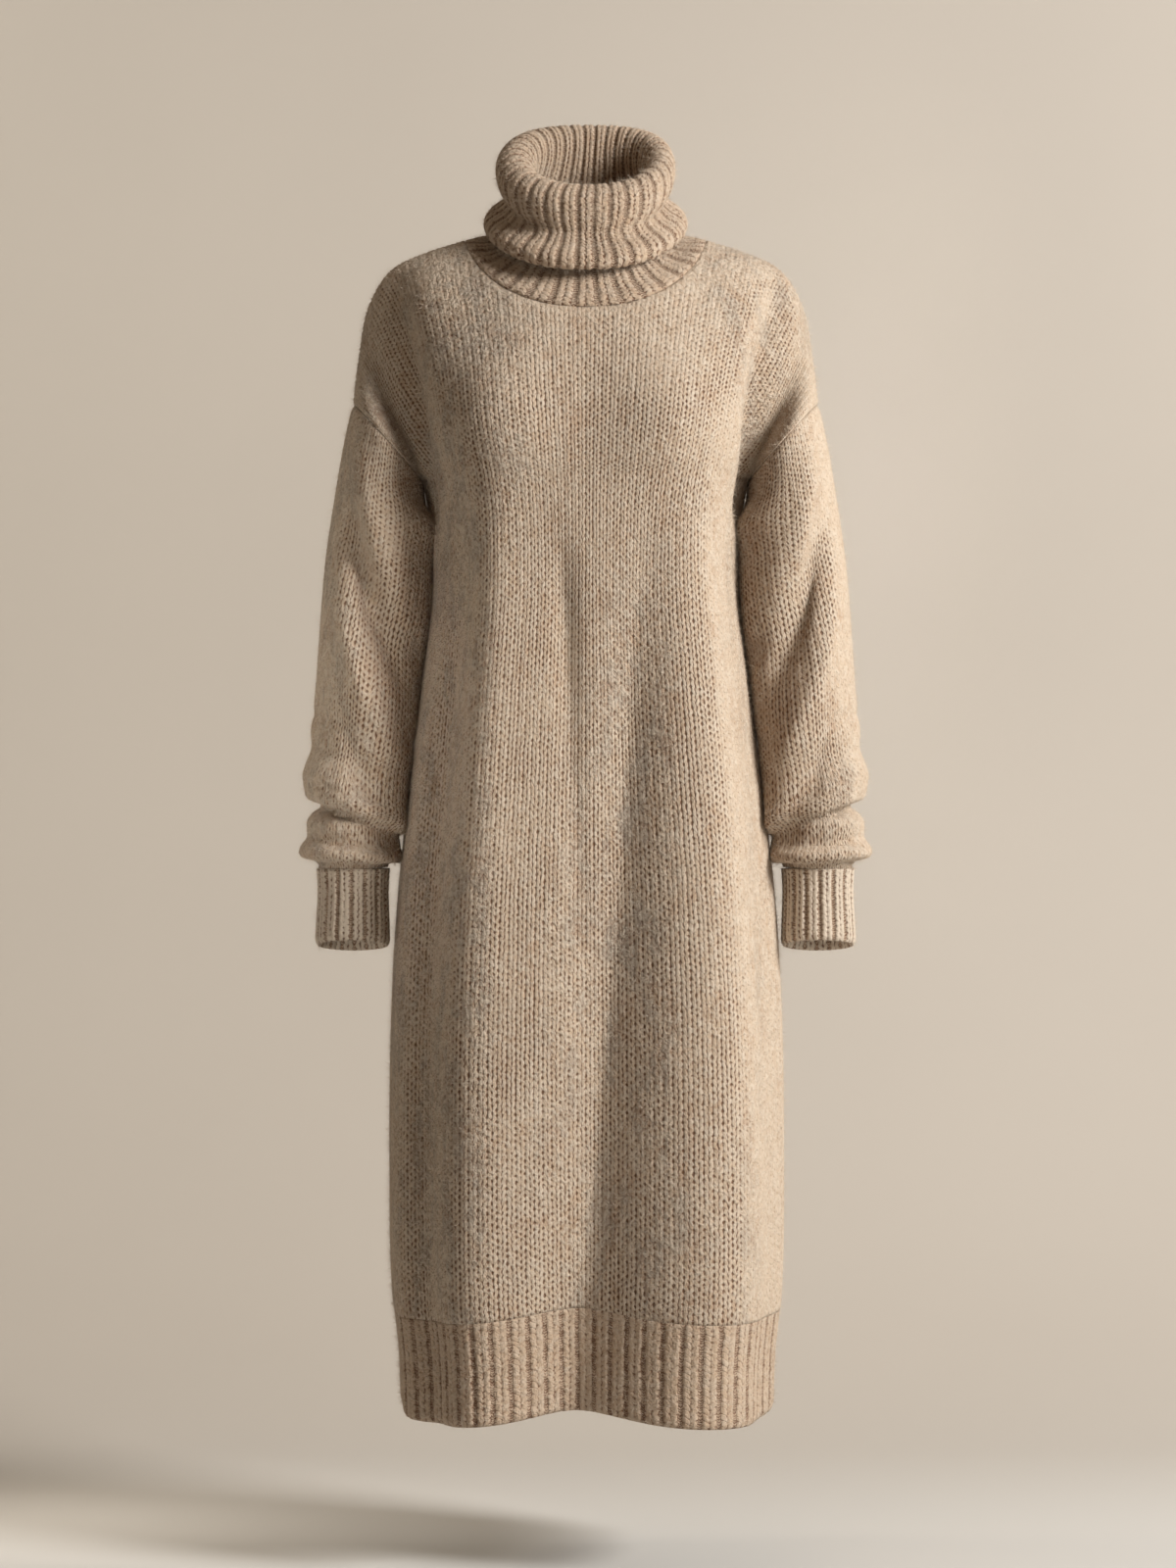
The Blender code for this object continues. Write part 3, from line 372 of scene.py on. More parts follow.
def panel(side, u, v):
    """A point of the outer face of the front or the back, with its folds."""

    def plain(a, b):
        return panel_base(side, np.clip(a, -1, 1), np.maximum(b, -YOKE_LENGTH))

    points = plain(u, v)
    outward = measured_normal(plain, u, v, PANEL_STEPS) * -side
    height = panel_height(side, u, v, points)
    moved = points + outward * height[..., None]
    z = points[..., 2]
    at_side = smooth((np.abs(u) - SIDE_U) / (1 - SIDE_U))
    lift = HEM_CENTRE_LIFT * bell(u - FOLDS[side][0].hem_u, HEM_CENTRE_SPREAD)
    lift = lift + HEM_SIDE_LIFT * at_side
    lift = lift * smooth((HEM_LIFT_TOP_Z - z) / (HEM_LIFT_TOP_Z - HEM_SEAM_Z))
    in_rib = smooth((HEM_SEAM_Z - z) / (HEM_SEAM_Z - HEM_EDGE_Z))
    lift = lift + HEM_EDGE_SIDE_LIFT * at_side * in_rib
    keep = 1 - smooth(1 + v / (LEVEL_FROM * YOKE_LENGTH))
    moved[..., 2] = between(z, moved[..., 2], keep) + np.where(v >= 0, lift, 0)
    return moved


def beside_body(y, z):
    """The x at which a sleeve that is pressed against the body lies just clear of it."""
    depth = np.where(y < 0, through(BODY, "z", "front", z), through(BODY, "z", "back", z))
    share = np.clip(np.abs(y) / depth, 0, 1)
    side = (1 - share**BODY_SQUARENESS) ** (1 / BODY_SQUARENESS)
    side = through(BODY, "z", "half_width", z) * side
    folds = SLEEVE_CLEAR_FOLDS * smooth((np.abs(y) - FOLDS_FROM_Y) / FOLDS_FROM_Y)
    return side + SLEEVE_CLEAR + folds


def sleeve(angle, t):
    """A point of the +X sleeve's outer face: angle 0 underarm, pi/2 front, pi outer side."""

    def section(a, b):
        value = {c: through(SLEEVE, "t", c, b) for c in SLEEVE[0]._fields[1:]}
        tilt = np.radians(value["tilt_deg"])
        reach = -value["half_width"] * np.cos(a)
        x = value["x"] + reach * np.cos(tilt)
        y = value["y"] - value["half_depth"] * np.sin(a)
        z = value["z"] + reach * np.sin(tilt)
        return np.stack([x, y, z], axis=-1)

    rolls = np.zeros_like(angle)
    inner_share = (1 + np.cos(angle)) / 2
    for roll in SLEEVE_ROLLS:
        centre = between(roll.t_outer, roll.t_inner, inner_share)
        peak = between(roll.outer_height, roll.inner_height, inner_share)
        rolls += peak * bell(t - centre, roll.spread)
    height = rolls.copy()
    degrees = np.degrees(angle) % 360
    for crease in SLEEVE_CREASES:
        share = np.clip((t - crease.t_from) / (crease.t_to - crease.t_from), 0, 1)
        centre = between(crease.angle_from, crease.angle_to, share)
        past = t - np.clip(t, crease.t_from, crease.t_to)
        strength = bell(past, CREASE_FADE) * (0.5 + 0.5 * np.sin(math.pi * share))
        off_centre = (degrees - centre + 180) % 360 - 180
        height -= crease.depth * strength * bell(off_centre, crease.spread)
    inside = smooth(t / SLEEVE_FADE_TOP) * smooth((1 - t) / SLEEVE_FADE_CUFF)
    outward = measured_normal(section, angle, t, TUBE_STEPS)
    points = section(angle, t) + outward * (height * inside)[..., None]
    points[..., 2] -= ROLL_SAG * rolls * inside
    pressed = smooth((t - PRESS_FROM) / PRESS_OVER) * smooth((1 - t) / PRESS_END)
    x = points[..., 0]
    reach = x - SLEEVE_PRESS * np.maximum(np.cos(angle), 0)
    limit = beside_body(points[..., 1], points[..., 2])
    over = reach - limit
    held_off = limit + (over + np.sqrt(over**2 + PRESS_ROUND**2)) / 2
    points[..., 0] = between(x, held_off, pressed)
    return points


def cuff(angle, w):
    """A point of the +X cuff's middle surface: w is 0 at the sleeve and 1 at the lower edge."""
    value = {c: through(CUFF, "w", c, w) for c in CUFF[0]._fields[1:]}
    x = value["x"] - value["half_width"] * np.cos(angle)
    y = value["y"] - value["half_depth"] * np.sin(angle)
    z = SLEEVE[-1].z - CUFF_LENGTH * w + value["tilt"] * value["half_depth"] * np.sin(angle)
    return np.stack([x, y, z], axis=-1)


def evenly_along(curve, start, end, count, samples=800):
    """count + 1 values from start to end that are equal distances apart along a curve."""
    values = np.linspace(start, end, samples)
    points = curve(values)
    run = np.concatenate([[0], np.cumsum(np.linalg.norm(np.diff(points, axis=0), axis=1))])
    return np.interp(np.linspace(0, run[-1], count + 1), run, values)


def neck_seam(side):
    """The corners of a panel's neck seam, from the -X neck point to the +X one."""

    def seam(angle):
        u = NECK_U * np.sin(angle)
        return panel(side, u, neckline(side, u))

    return seam(evenly_along(seam, -math.pi / 2, math.pi / 2, NECK_CORNERS, 2000))


def neck_ring():
    """The corners of the whole neck seam: from the -X neck point by the front and round again."""
    return np.concatenate([neck_seam(FRONT), neck_seam(BACK)[-2::-1]])


def along_polygon(corners, share):
    """Points on the straight edges between corners, at shares 0..1 of their number."""
    place = np.clip(share, 0, 1) * (len(corners) - 1)
    first = np.minimum(np.floor(place).astype(int), len(corners) - 2)
    rest = (place - first)[..., None]
    return corners[first] * (1 - rest) + corners[first + 1] * rest


RIM = COLLAR[5]
COLLAR_ARC = even_angles(RIM.half_width, (RIM.y_back - RIM.y_front) / 2, COLLAR_SQUARENESS)


def collar_station(turn, k):
    """A point of station k of the collar's middle surface; k may lie between two stations."""
    stations = np.arange(len(COLLAR), dtype=float)
    columns = zip(COLLAR[0]._fields, np.array(COLLAR).T)
    value = {name: smooth_curve(stations, column, k) for name, column in columns}
    quarter = 4 * (turn % 1.0)
    from_depth_axis = np.abs((quarter % 2) - 1)
    angle = np.interp(from_depth_axis, *COLLAR_ARC)
    power = 2 / COLLAR_SQUARENESS
    cosine = np.where((quarter > 1) & (quarter < 3), 1, -1) * np.sin(angle) ** power
    sine = np.where(quarter < 2, -1, 1) * np.cos(angle) ** power
    depth = np.where(sine < 0, -value["y_front"], value["y_back"])
    tilt = (value["z_back"] - value["z_front"]) / 2
    saddle = (value["z_back"] + value["z_front"]) / 2 - value["z_side"]
    z = value["z_side"] + tilt * sine + saddle * sine**2
    return np.stack([value["x"] + value["half_width"] * cosine, depth * sine, z], axis=-1)


def collar(turn, s, ring):
    """The collar's middle surface: s counts the rows of points up from the neck seam."""
    share = np.clip(s / COLLAR_BASE_ROWS, 0, 1)
    points = collar_station(turn, np.maximum(s - COLLAR_BASE_ROWS, 0))
    seam = along_polygon(ring, turn % 1.0)
    points = between(seam, points, share[..., None])
    points[..., 2] -= COLLAR_BASE_SAG * 4 * share * (1 - share)
    return points


# ---- knitting ----
PANEL_WALES = 70
YOKE_COURSES, SKIRT_COURSES = 50, 122
SLEEVE_WALES, SLEEVE_COURSES = 46, 72
HEM_RIBS, HEM_COURSES = 35, 17
CUFF_RIBS, CUFF_COURSES = 16, 13
COLLAR_RIBS, COLLAR_COURSES = 34, 52
THICKNESS = 0.0036
RIB_THICKNESS = 0.0034
RIB_HEIGHT = 0.0018
RIB_WALL = RIB_THICKNESS + RIB_HEIGHT
CUFF_RELIEF = 1.5  # times that height, on the tightly knitted cuffs
EDGE_DIP = 0.0012  # the cloth sinks by so much at a seam
EDGE_ROUND = {-2: 0.28, -1: 0.84}  # how far the last two rows of a free edge draw together
NECK_FADE = 0.006  # metres below the neckline over which the stitches rise from the seam
SIDE_FADE = 0.012  # share of a half panel over which they do beside a side seam
SNUG = 0.0010  # closer to the body, that the inner side of a sleeve lies
SNUG_ARMPIT = 0.0110  # more so just under the armhole, where the photo shows no gap
SNUG_FROM, SNUG_END = 0.10, 0.04  # shares of the sleeve's length at its top and its cuff
ARMPIT_T, ARMPIT_SPREAD = 0.175, 0.065
FOLD_SHIFT = 0.015  # of a sleeve, that its folds lie lower on the left and higher on the right

# Height of stocking stitch above its ground at the columns of a wale, in the row where two courses
# meet and in the one through a course's middle.
STITCH_RELIEF = 0.0008
STITCH = (
    (0.00, 0.90, 0.25, 0.90),
    (-0.30, 1.00, 0.45, 1.00),
)
# The same across a rib: its place and height, and how much the stitches rise and sink.
RIB = table(
    "place height stitch",
    (0.00, 0.00, 0.08),
    (0.09, 0.34, 0.06),
    (0.19, 0.90, 0.05),
    (0.32, 1.00, 0.05),
    (0.50, 0.72, -0.04),
    (0.68, 1.00, 0.05),
    (0.81, 0.90, 0.05),
    (0.91, 0.34, 0.06),
)


def grid_normals(points, closed):
    """Unit normals of a grid of points, along (down the rows) x (along a row)."""
    if closed:
        across = np.roll(points, -1, axis=1) - np.roll(points, 1, axis=1)
    else:
        across = np.gradient(points, axis=1)
    down = np.gradient(points, axis=0)
    return unit(np.cross(down, across))


def stitch_heights(rows, columns):
    """Stocking stitch over a grid with four columns to a wale and two rows to a course."""
    pattern = np.array(STITCH) * STITCH_RELIEF
    return pattern[np.arange(rows)[:, None] % 2, np.arange(columns)[None] % 4]


def rib_places(ribs, closed):
    """Where the columns of so many ribs lie, counted in ribs."""
    places = np.array([n + column.place for n in range(ribs) for column in RIB])
    return places if closed else np.append(places, ribs)


def rib_heights(rows, columns):
    """How far ribs lie below their tops. A grid has len(RIB) columns to a rib."""
    _, share, stitch = np.array(RIB)[np.arange(columns) % len(RIB)].T
    turn = np.where(np.arange(rows) % 2 == 0, -1, 1)[:, None]
    return (share[None] + stitch[None] * turn - 1) * RIB_HEIGHT


def edge_fade(rows, top, bottom):
    """Share of the relief left at each row, where a seam takes it away over so many rows."""
    fade = np.ones(rows)
    if top:
        fade *= smooth((np.arange(rows) + 0.3) / top)
    if bottom:
        fade *= smooth((rows - 1 - np.arange(rows) + 0.3) / bottom)
    return fade[:, None]


def stitch_grid(wale, shape):
    """(wale, course) at each point of a grid with two rows to a course."""
    course = np.arange(shape[0])[:, None] / 2
    return np.stack([np.broadcast_to(wale, shape), np.broadcast_to(course, shape)], axis=-1)


def strip(first, second, closed):
    """Faces between two rows of points; second may have a multiple of first's steps."""
    faces = []
    steps = len(first) if closed else len(first) - 1
    ratio = (len(second) if closed else len(second) - 1) // steps
    for i in range(steps):
        a, b = first[i], first[(i + 1) % len(first)]
        fan = [second[(i * ratio + k) % len(second)] for k in range(ratio + 1)]
        half = ratio // 2
        for k in range(ratio):
            faces.append((a if k <= half else b, fan[k + 1], fan[k]))
        faces.append((a, b, fan[half + 1 if ratio > 1 else 1]))
    return faces


def grid_faces(numbers, closed):
    """Quads over a grid of point numbers, or triangles or nothing where points are shared."""
    if closed:
        numbers = np.concatenate([numbers, numbers[:, :1]], axis=1)
    quads = np.stack(
        [numbers[:-1, :-1], numbers[:-1, 1:], numbers[1:, 1:], numbers[1:, :-1]], axis=-1
    ).reshape(-1, 4)
    faces = []
    for quad in quads.tolist():
        face = [n for i, n in enumerate(quad) if n != quad[i - 1]]
        if len(face) > 2:
            faces.append(tuple(face))
    return faces


def point_numbers(rows, columns, shared, first):
    numbers = np.maximum(np.arange(rows)[:, None], shared[None]) * columns
    return numbers + np.arange(columns)[None] + first


def shell_faces(shape, inner_shape, steps, shared, closed):
    """Faces of a closed shell between an outer and an inner grid, and at its edges."""
    rows, columns = shape
    inner_rows, inner_columns = inner_shape
    inner_shared = np.minimum(-(-shared[:: steps[1]] // steps[0]), inner_rows - 1)
    outer = point_numbers(rows, columns, shared, 0)
    inner = point_numbers(inner_rows, inner_columns, inner_shared, rows * columns)
    edges = [(inner[k], outer[k]) for k in (0, -1)]
    if not closed:
        edges += [(inner[:, k], outer[:, k]) for k in (0, -1)]
    faces = grid_faces(outer, closed) + grid_faces(inner, closed)
    for inner_edge, outer_edge in edges:
        faces += strip(list(inner_edge), list(outer_edge), closed)
    return [face for face in faces if len(set(face)) == len(face)]


def write_stitches(mesh, stitches, closed, wales):
    """Stores (wale, course) as a UV map. On a tube the last wale runs on into a whole number."""
    vertices = np.empty(len(mesh.loops), int)
    mesh.loops.foreach_get("vertex_index", vertices)
    uv = stitches[vertices]
    if closed:
        starts = np.empty(len(mesh.polygons), int)
        totals = np.empty(len(mesh.polygons), int)
        mesh.polygons.foreach_get("loop_start", starts)
        mesh.polygons.foreach_get("loop_total", totals)
        widest = np.repeat(np.maximum.reduceat(uv[:, 0], starts), totals)
        uv[widest - uv[:, 0] > wales / 2, 0] += wales
    mesh.uv_layers.new(name="stitch").data.foreach_set("uv", uv.ravel())


def new_object(name, data):
    obj = bpy.data.objects.new(name, data)
    bpy.context.scene.collection.objects.link(obj)
    return obj


def new_mesh(name, verts, faces, material):
    mesh = bpy.data.meshes.new(name)
    mesh.from_pydata(verts, [], faces)
    mesh.materials.append(material)
    return mesh


def shell(name, outer, inner, steps, closed, stitches, material, shared=None):
    """A closed shell between an outer and an inner grid, as one piece on the body root.

    steps thins out the inner grid. stitches has (wale, course) at each point. shared may name, for
    each outer column, the row whose point all the points above it use too."""
    if shared is None:
        shared = np.zeros(outer.shape[1], int)
    thin = np.s_[:: steps[0], :: steps[1]]
    inner = inner[thin]
    faces = shell_faces(outer.shape[:2], inner.shape[:2], steps, shared, closed)
    verts = np.concatenate([outer.reshape(-1, 3), inner.reshape(-1, 3)])
    obj = new_object(name, new_mesh(name, verts.tolist(), faces, material))
    mesh = obj.data
    flat = np.concatenate([stitches.reshape(-1, 2), stitches[thin].reshape(-1, 2)])
    write_stitches(mesh, flat, closed, math.floor(stitches[0, -1, 0]) + 1)
    bm = bmesh.new()
    bm.from_mesh(mesh)
    for vert in [v for v in bm.verts if not v.link_faces]:
        bm.verts.remove(vert)
    bmesh.ops.recalc_face_normals(bm, faces=bm.faces)
    bm.to_mesh(mesh)
    bm.free()
    mesh.shade_smooth()
    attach(obj, "root")
    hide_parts(name.removeprefix("knit_"))
    return obj


def make_panel(side, material):
    """The front or the back: rows from the shoulder line down, that the neckline cuts off."""

    def middle(v):
        return panel(side, np.full_like(v, 0.5), v)

    columns = np.linspace(-1, 1, 4 * PANEL_WALES + 1)
    yoke_rows = evenly_along(middle, -YOKE_LENGTH, 0, 2 * YOKE_COURSES)
    rows = np.concatenate([yoke_rows[:-1], np.linspace(0, SKIRT_LENGTH, 2 * SKIRT_COURSES + 1)])
    course = np.arange(len(rows)) / 2
    top = neckline(side, columns)
    shared = np.maximum(np.sum(rows[:, None] <= top[None] + 1e-9, axis=0) - 1, 0)
    v = np.maximum(rows[:, None], top[None])
    u = np.broadcast_to(columns, v.shape)
    points = panel(side, u, v)
    above = np.arange(len(rows))[:, None] < shared[None]
    normal = grid_normals(panel(side, u, np.broadcast_to(rows[:, None], v.shape)), False) * -side
    kept = np.clip((v - top[None]) / NECK_FADE, 0, 1) * smooth((1 - np.abs(u)) / SIDE_FADE)
    relief = stitch_heights(*v.shape) * kept - EDGE_DIP * (1 - kept)
    relief = relief * edge_fade(len(rows), 0, 2)
    outer = np.where(above[..., None], points, points + normal * relief[..., None])
    inner = points - normal * THICKNESS
    stitches = np.stack([(u + 1) / 2 * PANEL_WALES, np.interp(v, rows, course)], axis=-1)
    name = "knit_" + PANEL_NAMES[side]
    return shell(name, outer, inner, (8, 4), False, stitches, material, shared)


def round_edge(outer, inner):
    """Draws a shell's last rows together, as a knitted edge rounds over."""
    for row, share in EDGE_ROUND.items():
        middle = (outer[row] + inner[row]) / 2
        outer[row] = between(outer[row], middle, share)
        inner[row] = between(inner[row], middle, share)


def make_piece(name, points, normal, relief, wall, steps, wale, side_x, material):
    """A hem, sleeve or cuff: points raised by relief, and an inner face that lies wall below them.

    side_x mirrors a tube, and is None for a hem."""
    outer = points + normal * relief[..., None]
    inner = points - normal * wall
    if wall > THICKNESS:
        round_edge(outer, inner)
    if side_x:
        outer[..., 0] *= side_x
        inner[..., 0] *= side_x
    stitches = stitch_grid(wale, relief.shape)
    return shell(name, outer, inner, steps, side_x is not None, stitches, material)


def make_hem(side, material):
    """The rib below the front or the back panel."""
    u = rib_places(HEM_RIBS, False) / HEM_RIBS * 2 - 1
    rows = np.linspace(SKIRT_LENGTH, UNDERARM_Z - HEM_EDGE_Z, 2 * HEM_COURSES + 1)
    u, v = np.meshgrid(u, rows)
    points = panel(side, u, v)
    normal = grid_normals(points, False) * -side
    relief = rib_heights(*v.shape) * edge_fade(len(rows), 3, 0)
    name = "knit_hem_rib_" + PANEL_NAMES[side]
    wale = (u + 1) / 2 * HEM_RIBS
    steps = (2, len(RIB))
    return make_piece(name, points, normal, relief, RIB_WALL, steps, wale, None, material)


# Creases past those of the solid. Each runs from t_outer on the sleeve's outer side to t_inner on
# the inner, and turn says where round the sleeve it is strongest.
PUCKER = "t_outer t_inner height spread turn"
# The folds slant down and fade at both edges of the sleeve.
SLEEVE_FOLDS = table(
    PUCKER,
    (0.030, 0.400, 0.0050, 0.080, 1.6),
    (0.160, 0.640, -0.0125, 0.068, 2.9),
    (0.330, 0.850, 0.0080, 0.070, 2.7),
    (0.560, 0.980, -0.0060, 0.055, 3.3),
)
# The puckers ring the pushed-up rolls above the cuff.
SLEEVE_PUCKERS = table(
    PUCKER,
    (0.640, 0.720, -0.0020, 0.016, 1.2),
    (0.800, 0.862, -0.0024, 0.010, 2.8),
    (0.842, 0.900, 0.0032, 0.012, 0.4),
    (0.869, 0.936, -0.0060, 0.010, 1.0),
    (0.900, 0.930, 0.0044, 0.011, 3.1),
    (0.926, 0.954, -0.0062, 0.009, 2.6),
    (0.956, 0.972, 0.0022, 0.013, 0.0),
    (0.992, 0.994, -0.0036, 0.010, 0.0),
)


def sleeve_crease(angle, t, side_x):
    """How far folds and puckers move a sleeve's cloth outwards."""
    inner_share = (1 + np.cos(angle)) / 2
    crease = np.zeros_like(t)
    for fold in SLEEVE_FOLDS + SLEEVE_PUCKERS:
        slanted = fold in SLEEVE_FOLDS
        centre = between(fold.t_outer, fold.t_inner, inner_share) + FOLD_SHIFT * side_x * slanted
        reach = np.sin(angle) ** 2 if slanted else 1.0
        uneven = 0.65 + 0.35 * np.cos(angle * 2 + fold.turn)
        crease += fold.height * bell(t - centre, fold.spread) * uneven * reach
    return crease


def make_sleeve(side_x, material):
    """A sleeve: side_x is 1 for the wearer's left one and -1 for the right one."""
    columns = 4 * SLEEVE_WALES
    t = evenly_along(lambda b: sleeve(np.full_like(b, math.pi), b), 0, 1, 2 * SLEEVE_COURSES)
    angle, t = np.meshgrid(2 * math.pi * np.arange(columns) / columns, t)
    points = sleeve(angle, t)
    snug = SNUG * smooth((t - SNUG_FROM) / SNUG_FROM) * smooth((1 - t) / SNUG_END)
    snug = snug + SNUG_ARMPIT * bell(t - ARMPIT_T, ARMPIT_SPREAD)
    points[..., 0] -= snug * np.maximum(np.cos(angle), 0)
    crease = sleeve_crease(angle, t, side_x)
    points = points + grid_normals(points, True) * crease[..., None]
    normal = grid_normals(points, True)
    relief = stitch_heights(*t.shape) * edge_fade(len(t), 2, 2)
    relief = relief - EDGE_DIP * (1 - edge_fade(len(t), 2, 0))
    name = "knit_sleeve_" + ARM_NAMES[side_x]
    wale = np.arange(columns) / 4
    return make_piece(name, points, normal, relief, THICKNESS, (4, 4), wale, side_x, material)


def make_cuff(side_x, material):
    """The ribbed cuff of the sleeve on that side."""
    places = rib_places(CUFF_RIBS, True)
    w = np.linspace(0, 1, 2 * CUFF_COURSES + 1)
    angle, w = np.meshgrid(2 * math.pi * places / CUFF_RIBS, w)
    points = cuff(angle, w)
    normal = grid_normals(points, True)
    relief = CUFF_RELIEF * rib_heights(*w.shape) * edge_fade(len(w), 2, 0)
    name = "knit_cuff_" + ARM_NAMES[side_x]
    return make_piece(name, points, normal, relief, RIB_WALL, (1, 2), places, side_x, material)


COLLAR_TURN_FROM, COLLAR_TURN_OVER = 2.2, 1.6  # rows where the ribs change sides
COLLAR_RISE_FROM, COLLAR_RISE_OVER = -0.15, 0.8  # rows where the wall rises from the neck seam


def make_collar(material):
    """The collar, from the neck seam over the roll to its free edge."""
    ring = neck_ring()

    def side(s):
        return collar(np.full_like(s, 0.25), s, ring)

    places = rib_places(COLLAR_RIBS, True)
    s = evenly_along(side, 0, COLLAR_ROWS, 2 * COLLAR_COURSES)
    turn, s = np.meshgrid(places / COLLAR_RIBS, s)
    points = collar(turn, s, ring)
    normal = grid_normals(points, True)
    half = RIB_THICKNESS / 2
    turned = smooth((s - COLLAR_TURN_FROM) / COLLAR_TURN_OVER)
    raised = smooth((s - COLLAR_RISE_FROM) / COLLAR_RISE_OVER)
    heights = rib_heights(*s.shape) + RIB_HEIGHT
    base = half + heights * (1 - turned)
    showing = points + normal * (half + heights * turned + (1 - raised) * half)[..., None]
    hidden = points - normal * (base * (0.15 + 0.85 * raised))[..., None]
    round_edge(showing, hidden)
    stitches = stitch_grid(places, s.shape)
    return shell("knit_roll_collar", showing, hidden, (1, 1), True, stitches, material)


# ---- shader arithmetic ----
def operation(name):
    return lambda value, *others: value.math(name, *others)


class Value:
    """A shader node's output that plain arithmetic can be written with."""

    def __init__(self, tree, output):
        self.tree = tree
        self.output = output

    def math(self, operation, *others):
        node = new_node(self.tree, "Math", self, *others, operation=operation)
        return Value(self.tree, node.outputs[0])

    __add__, __sub__, __mul__ = operation("ADD"), operation("SUBTRACT"), operation("MULTIPLY")
    __truediv__, __abs__ = operation("DIVIDE"), operation("ABSOLUTE")
    fract, at_least, at_most = operation("FRACT"), operation("MAXIMUM"), operation("MINIMUM")

    def __rsub__(self, number):
        return self * -1.0 + number

    def ramp(self, low, high):
        """0 below low, 1 above high, and smooth between."""
        node = new_node(self.tree, "MapRange", self, low, high, interpolation_type="SMOOTHSTEP")
        return Value(self.tree, node.outputs["Result"])


def put(tree, socket, value):
    """Links a Value or an output to a socket, or gives it a number or a colour."""
    if isinstance(value, Value):
        value = value.output
    if isinstance(value, bpy.types.NodeSocket):
        tree.links.new(value, socket)
    else:
        socket.default_value = (*value, 1) if isinstance(value, tuple) else value


def fill(tree, node, settings):
    for name, value in settings.items():
        put(tree, node.inputs[name], value)


def new_node(tree, kind, *values, **attributes):
    """A shader node. The values go to its first inputs, in order."""
    node = tree.nodes.new("ShaderNode" + kind)
    for name, value in attributes.items():
        setattr(node, name, value)
    for socket, value in zip(node.inputs, values):
        put(tree, socket, value)
    return node


def separate(tree, vector):
    """The three parts of a vector output."""
    return [Value(tree, output) for output in new_node(tree, "SeparateXYZ", vector).outputs]


def noise(tree, where, scale, detail=2.0, roughness=0.5):
    """Noise over a vector output, or over a tuple of three parts."""
    if isinstance(where, tuple):
        where = new_node(tree, "CombineXYZ", *where).outputs[0]
    node = new_node(tree, "TexNoise")
    fill(tree, node, {"Vector": where, "Scale": scale, "Detail": detail, "Roughness": roughness})
    return Value(tree, node.outputs["Fac"])


def mix(tree, share, first, second):
    node = new_node(tree, "Mix", data_type="RGBA")
    fill(tree, node, {"Factor": share, "A": first, "B": second})
    return node.outputs["Result"]


def either(tree, share, first, second, end):
    """Ends a tree in a mix of two shaders."""
    node = new_node(tree, "MixShader", share, first, second)
    tree.links.new(node.outputs[0], tree.nodes[end].inputs["Surface"])


def principled(name, roughness, specular):
    """(a new material, its node tree, its shader)"""
    material = bpy.data.materials.new(name)
    material.use_nodes = True
    tree = material.node_tree
    shader = tree.nodes["Principled BSDF"]
    fill(tree, shader, {"Roughness": roughness, "Specular IOR Level": specular})
    return material, tree, shader


# ---- the wool ----
OATMEAL = (0.56, 0.443, 0.332)
PALE = (0.63, 0.550, 0.455)
GREY = (0.290, 0.252, 0.214)
BROWN = (0.36, 0.215, 0.125)
# Painted shade: the dark brown of the gaps between strands and of other low places of the relief.
GAP_SHADE = (0.120, 0.046, 0.018)
PURL_PALE = (0.56, 0.430, 0.320)
SHEEN = (0.95, 0.84, 0.72)
# Openness is that of the gaps between strands, and wander is how far strands stray, in wales. The
# other columns are shares of a colour.
Knit = namedtuple("Knit", "ribbed openness wander grey brown nubs pale")
KNITS = {
    "wool_stocking_stitch": Knit(False, 1.00, 0.40, 0.66, 0.36, 0.48, 0.00),
    "wool_rib": Knit(True, 0.55, 0.22, 0.20, 0.20, 0.30, 0.00),
    "wool_cuff": Knit(True, 0.90, 0.22, 0.20, 0.20, 0.30, 0.80),
    "wool_collar": Knit(True, 1.00, 0.22, 0.20, 0.20, 0.30, 0.00),
}
RIB_WARMTH = 0.20  # share of brown in the ribs' yarn
SHEEN_PALE = 0.14  # painted sheen: share of pale on the sides that face outwards or up
FLECKS = 0.40  # share of brown in single stitches
INNER_SLEEVE_SHADE_SHARE = 0.34  # painted shade: share of the gaps' shade colour on the inner sides of the sleeves, where the body shades them
GAP_WIDTH = 0.132  # of a wale, from the middle of a dark gap to its edge
DOT_LENGTH = 0.41  # of a course, half of one dark dot
STRAND_SWAY = 0.085  # of a wale, that a strand moves sideways over half a course
COURSE_WANDER, COLUMN_WANDER = 1.0, 1.6  # courses that the stitches and whole wales stray
RIB_FROM, RIB_TO = 0.115, 0.885  # of a rib, the share that its knit wale takes
# Middle and half width of the two dark upright bands of the heather, in metres from the middle:
# grey heather, and also painted shade of the left flank and the big front fold.
LEFT_HEATHER_SHADE_BAND = (-0.122, 0.048)
FOLD_HEATHER_SHADE_BAND = (0.045, 0.042)
BUMP_DEPTH = 0.0012


def dots(distance, phase, width, line):
    """1 in the dark gap between two strands: a dot in each course, joined by a fainter line."""
    across = distance / width
    across = across * across
    along = phase / DOT_LENGTH
    dot = 1.0 - (across + along * along).ramp(0.10, 1.15)
    return dot.at_least((1.0 - across.ramp(0.0, 1.0)) * line)


def stocking(place, course, strength, middle, line):
    """Height of stocking stitch: two upright strands a wale, with dotted gaps beside them."""
    phase = course.fract() - 0.5
    half_on = (course + 0.5).fract() - 0.5
    from_middle = abs(place - 0.5)
    sway = (abs(phase) - 0.25) * (2 * STRAND_SWAY)
    outer = dots(abs(0.5 - from_middle + sway), phase, GAP_WIDTH, line)
    inner = dots(abs(from_middle - sway), half_on, GAP_WIDTH * 0.80, line * 0.8)
    gap = (outer * strength).at_least(inner * (strength * middle))
    round_off = abs(from_middle - 0.25) * 4.0
    leg = abs((course + from_middle * 1.4).fract() - 0.5) * 2.0
    return 1.0 - gap - round_off * round_off * 0.22 - leg.ramp(0.66, 1.0) * 0.26


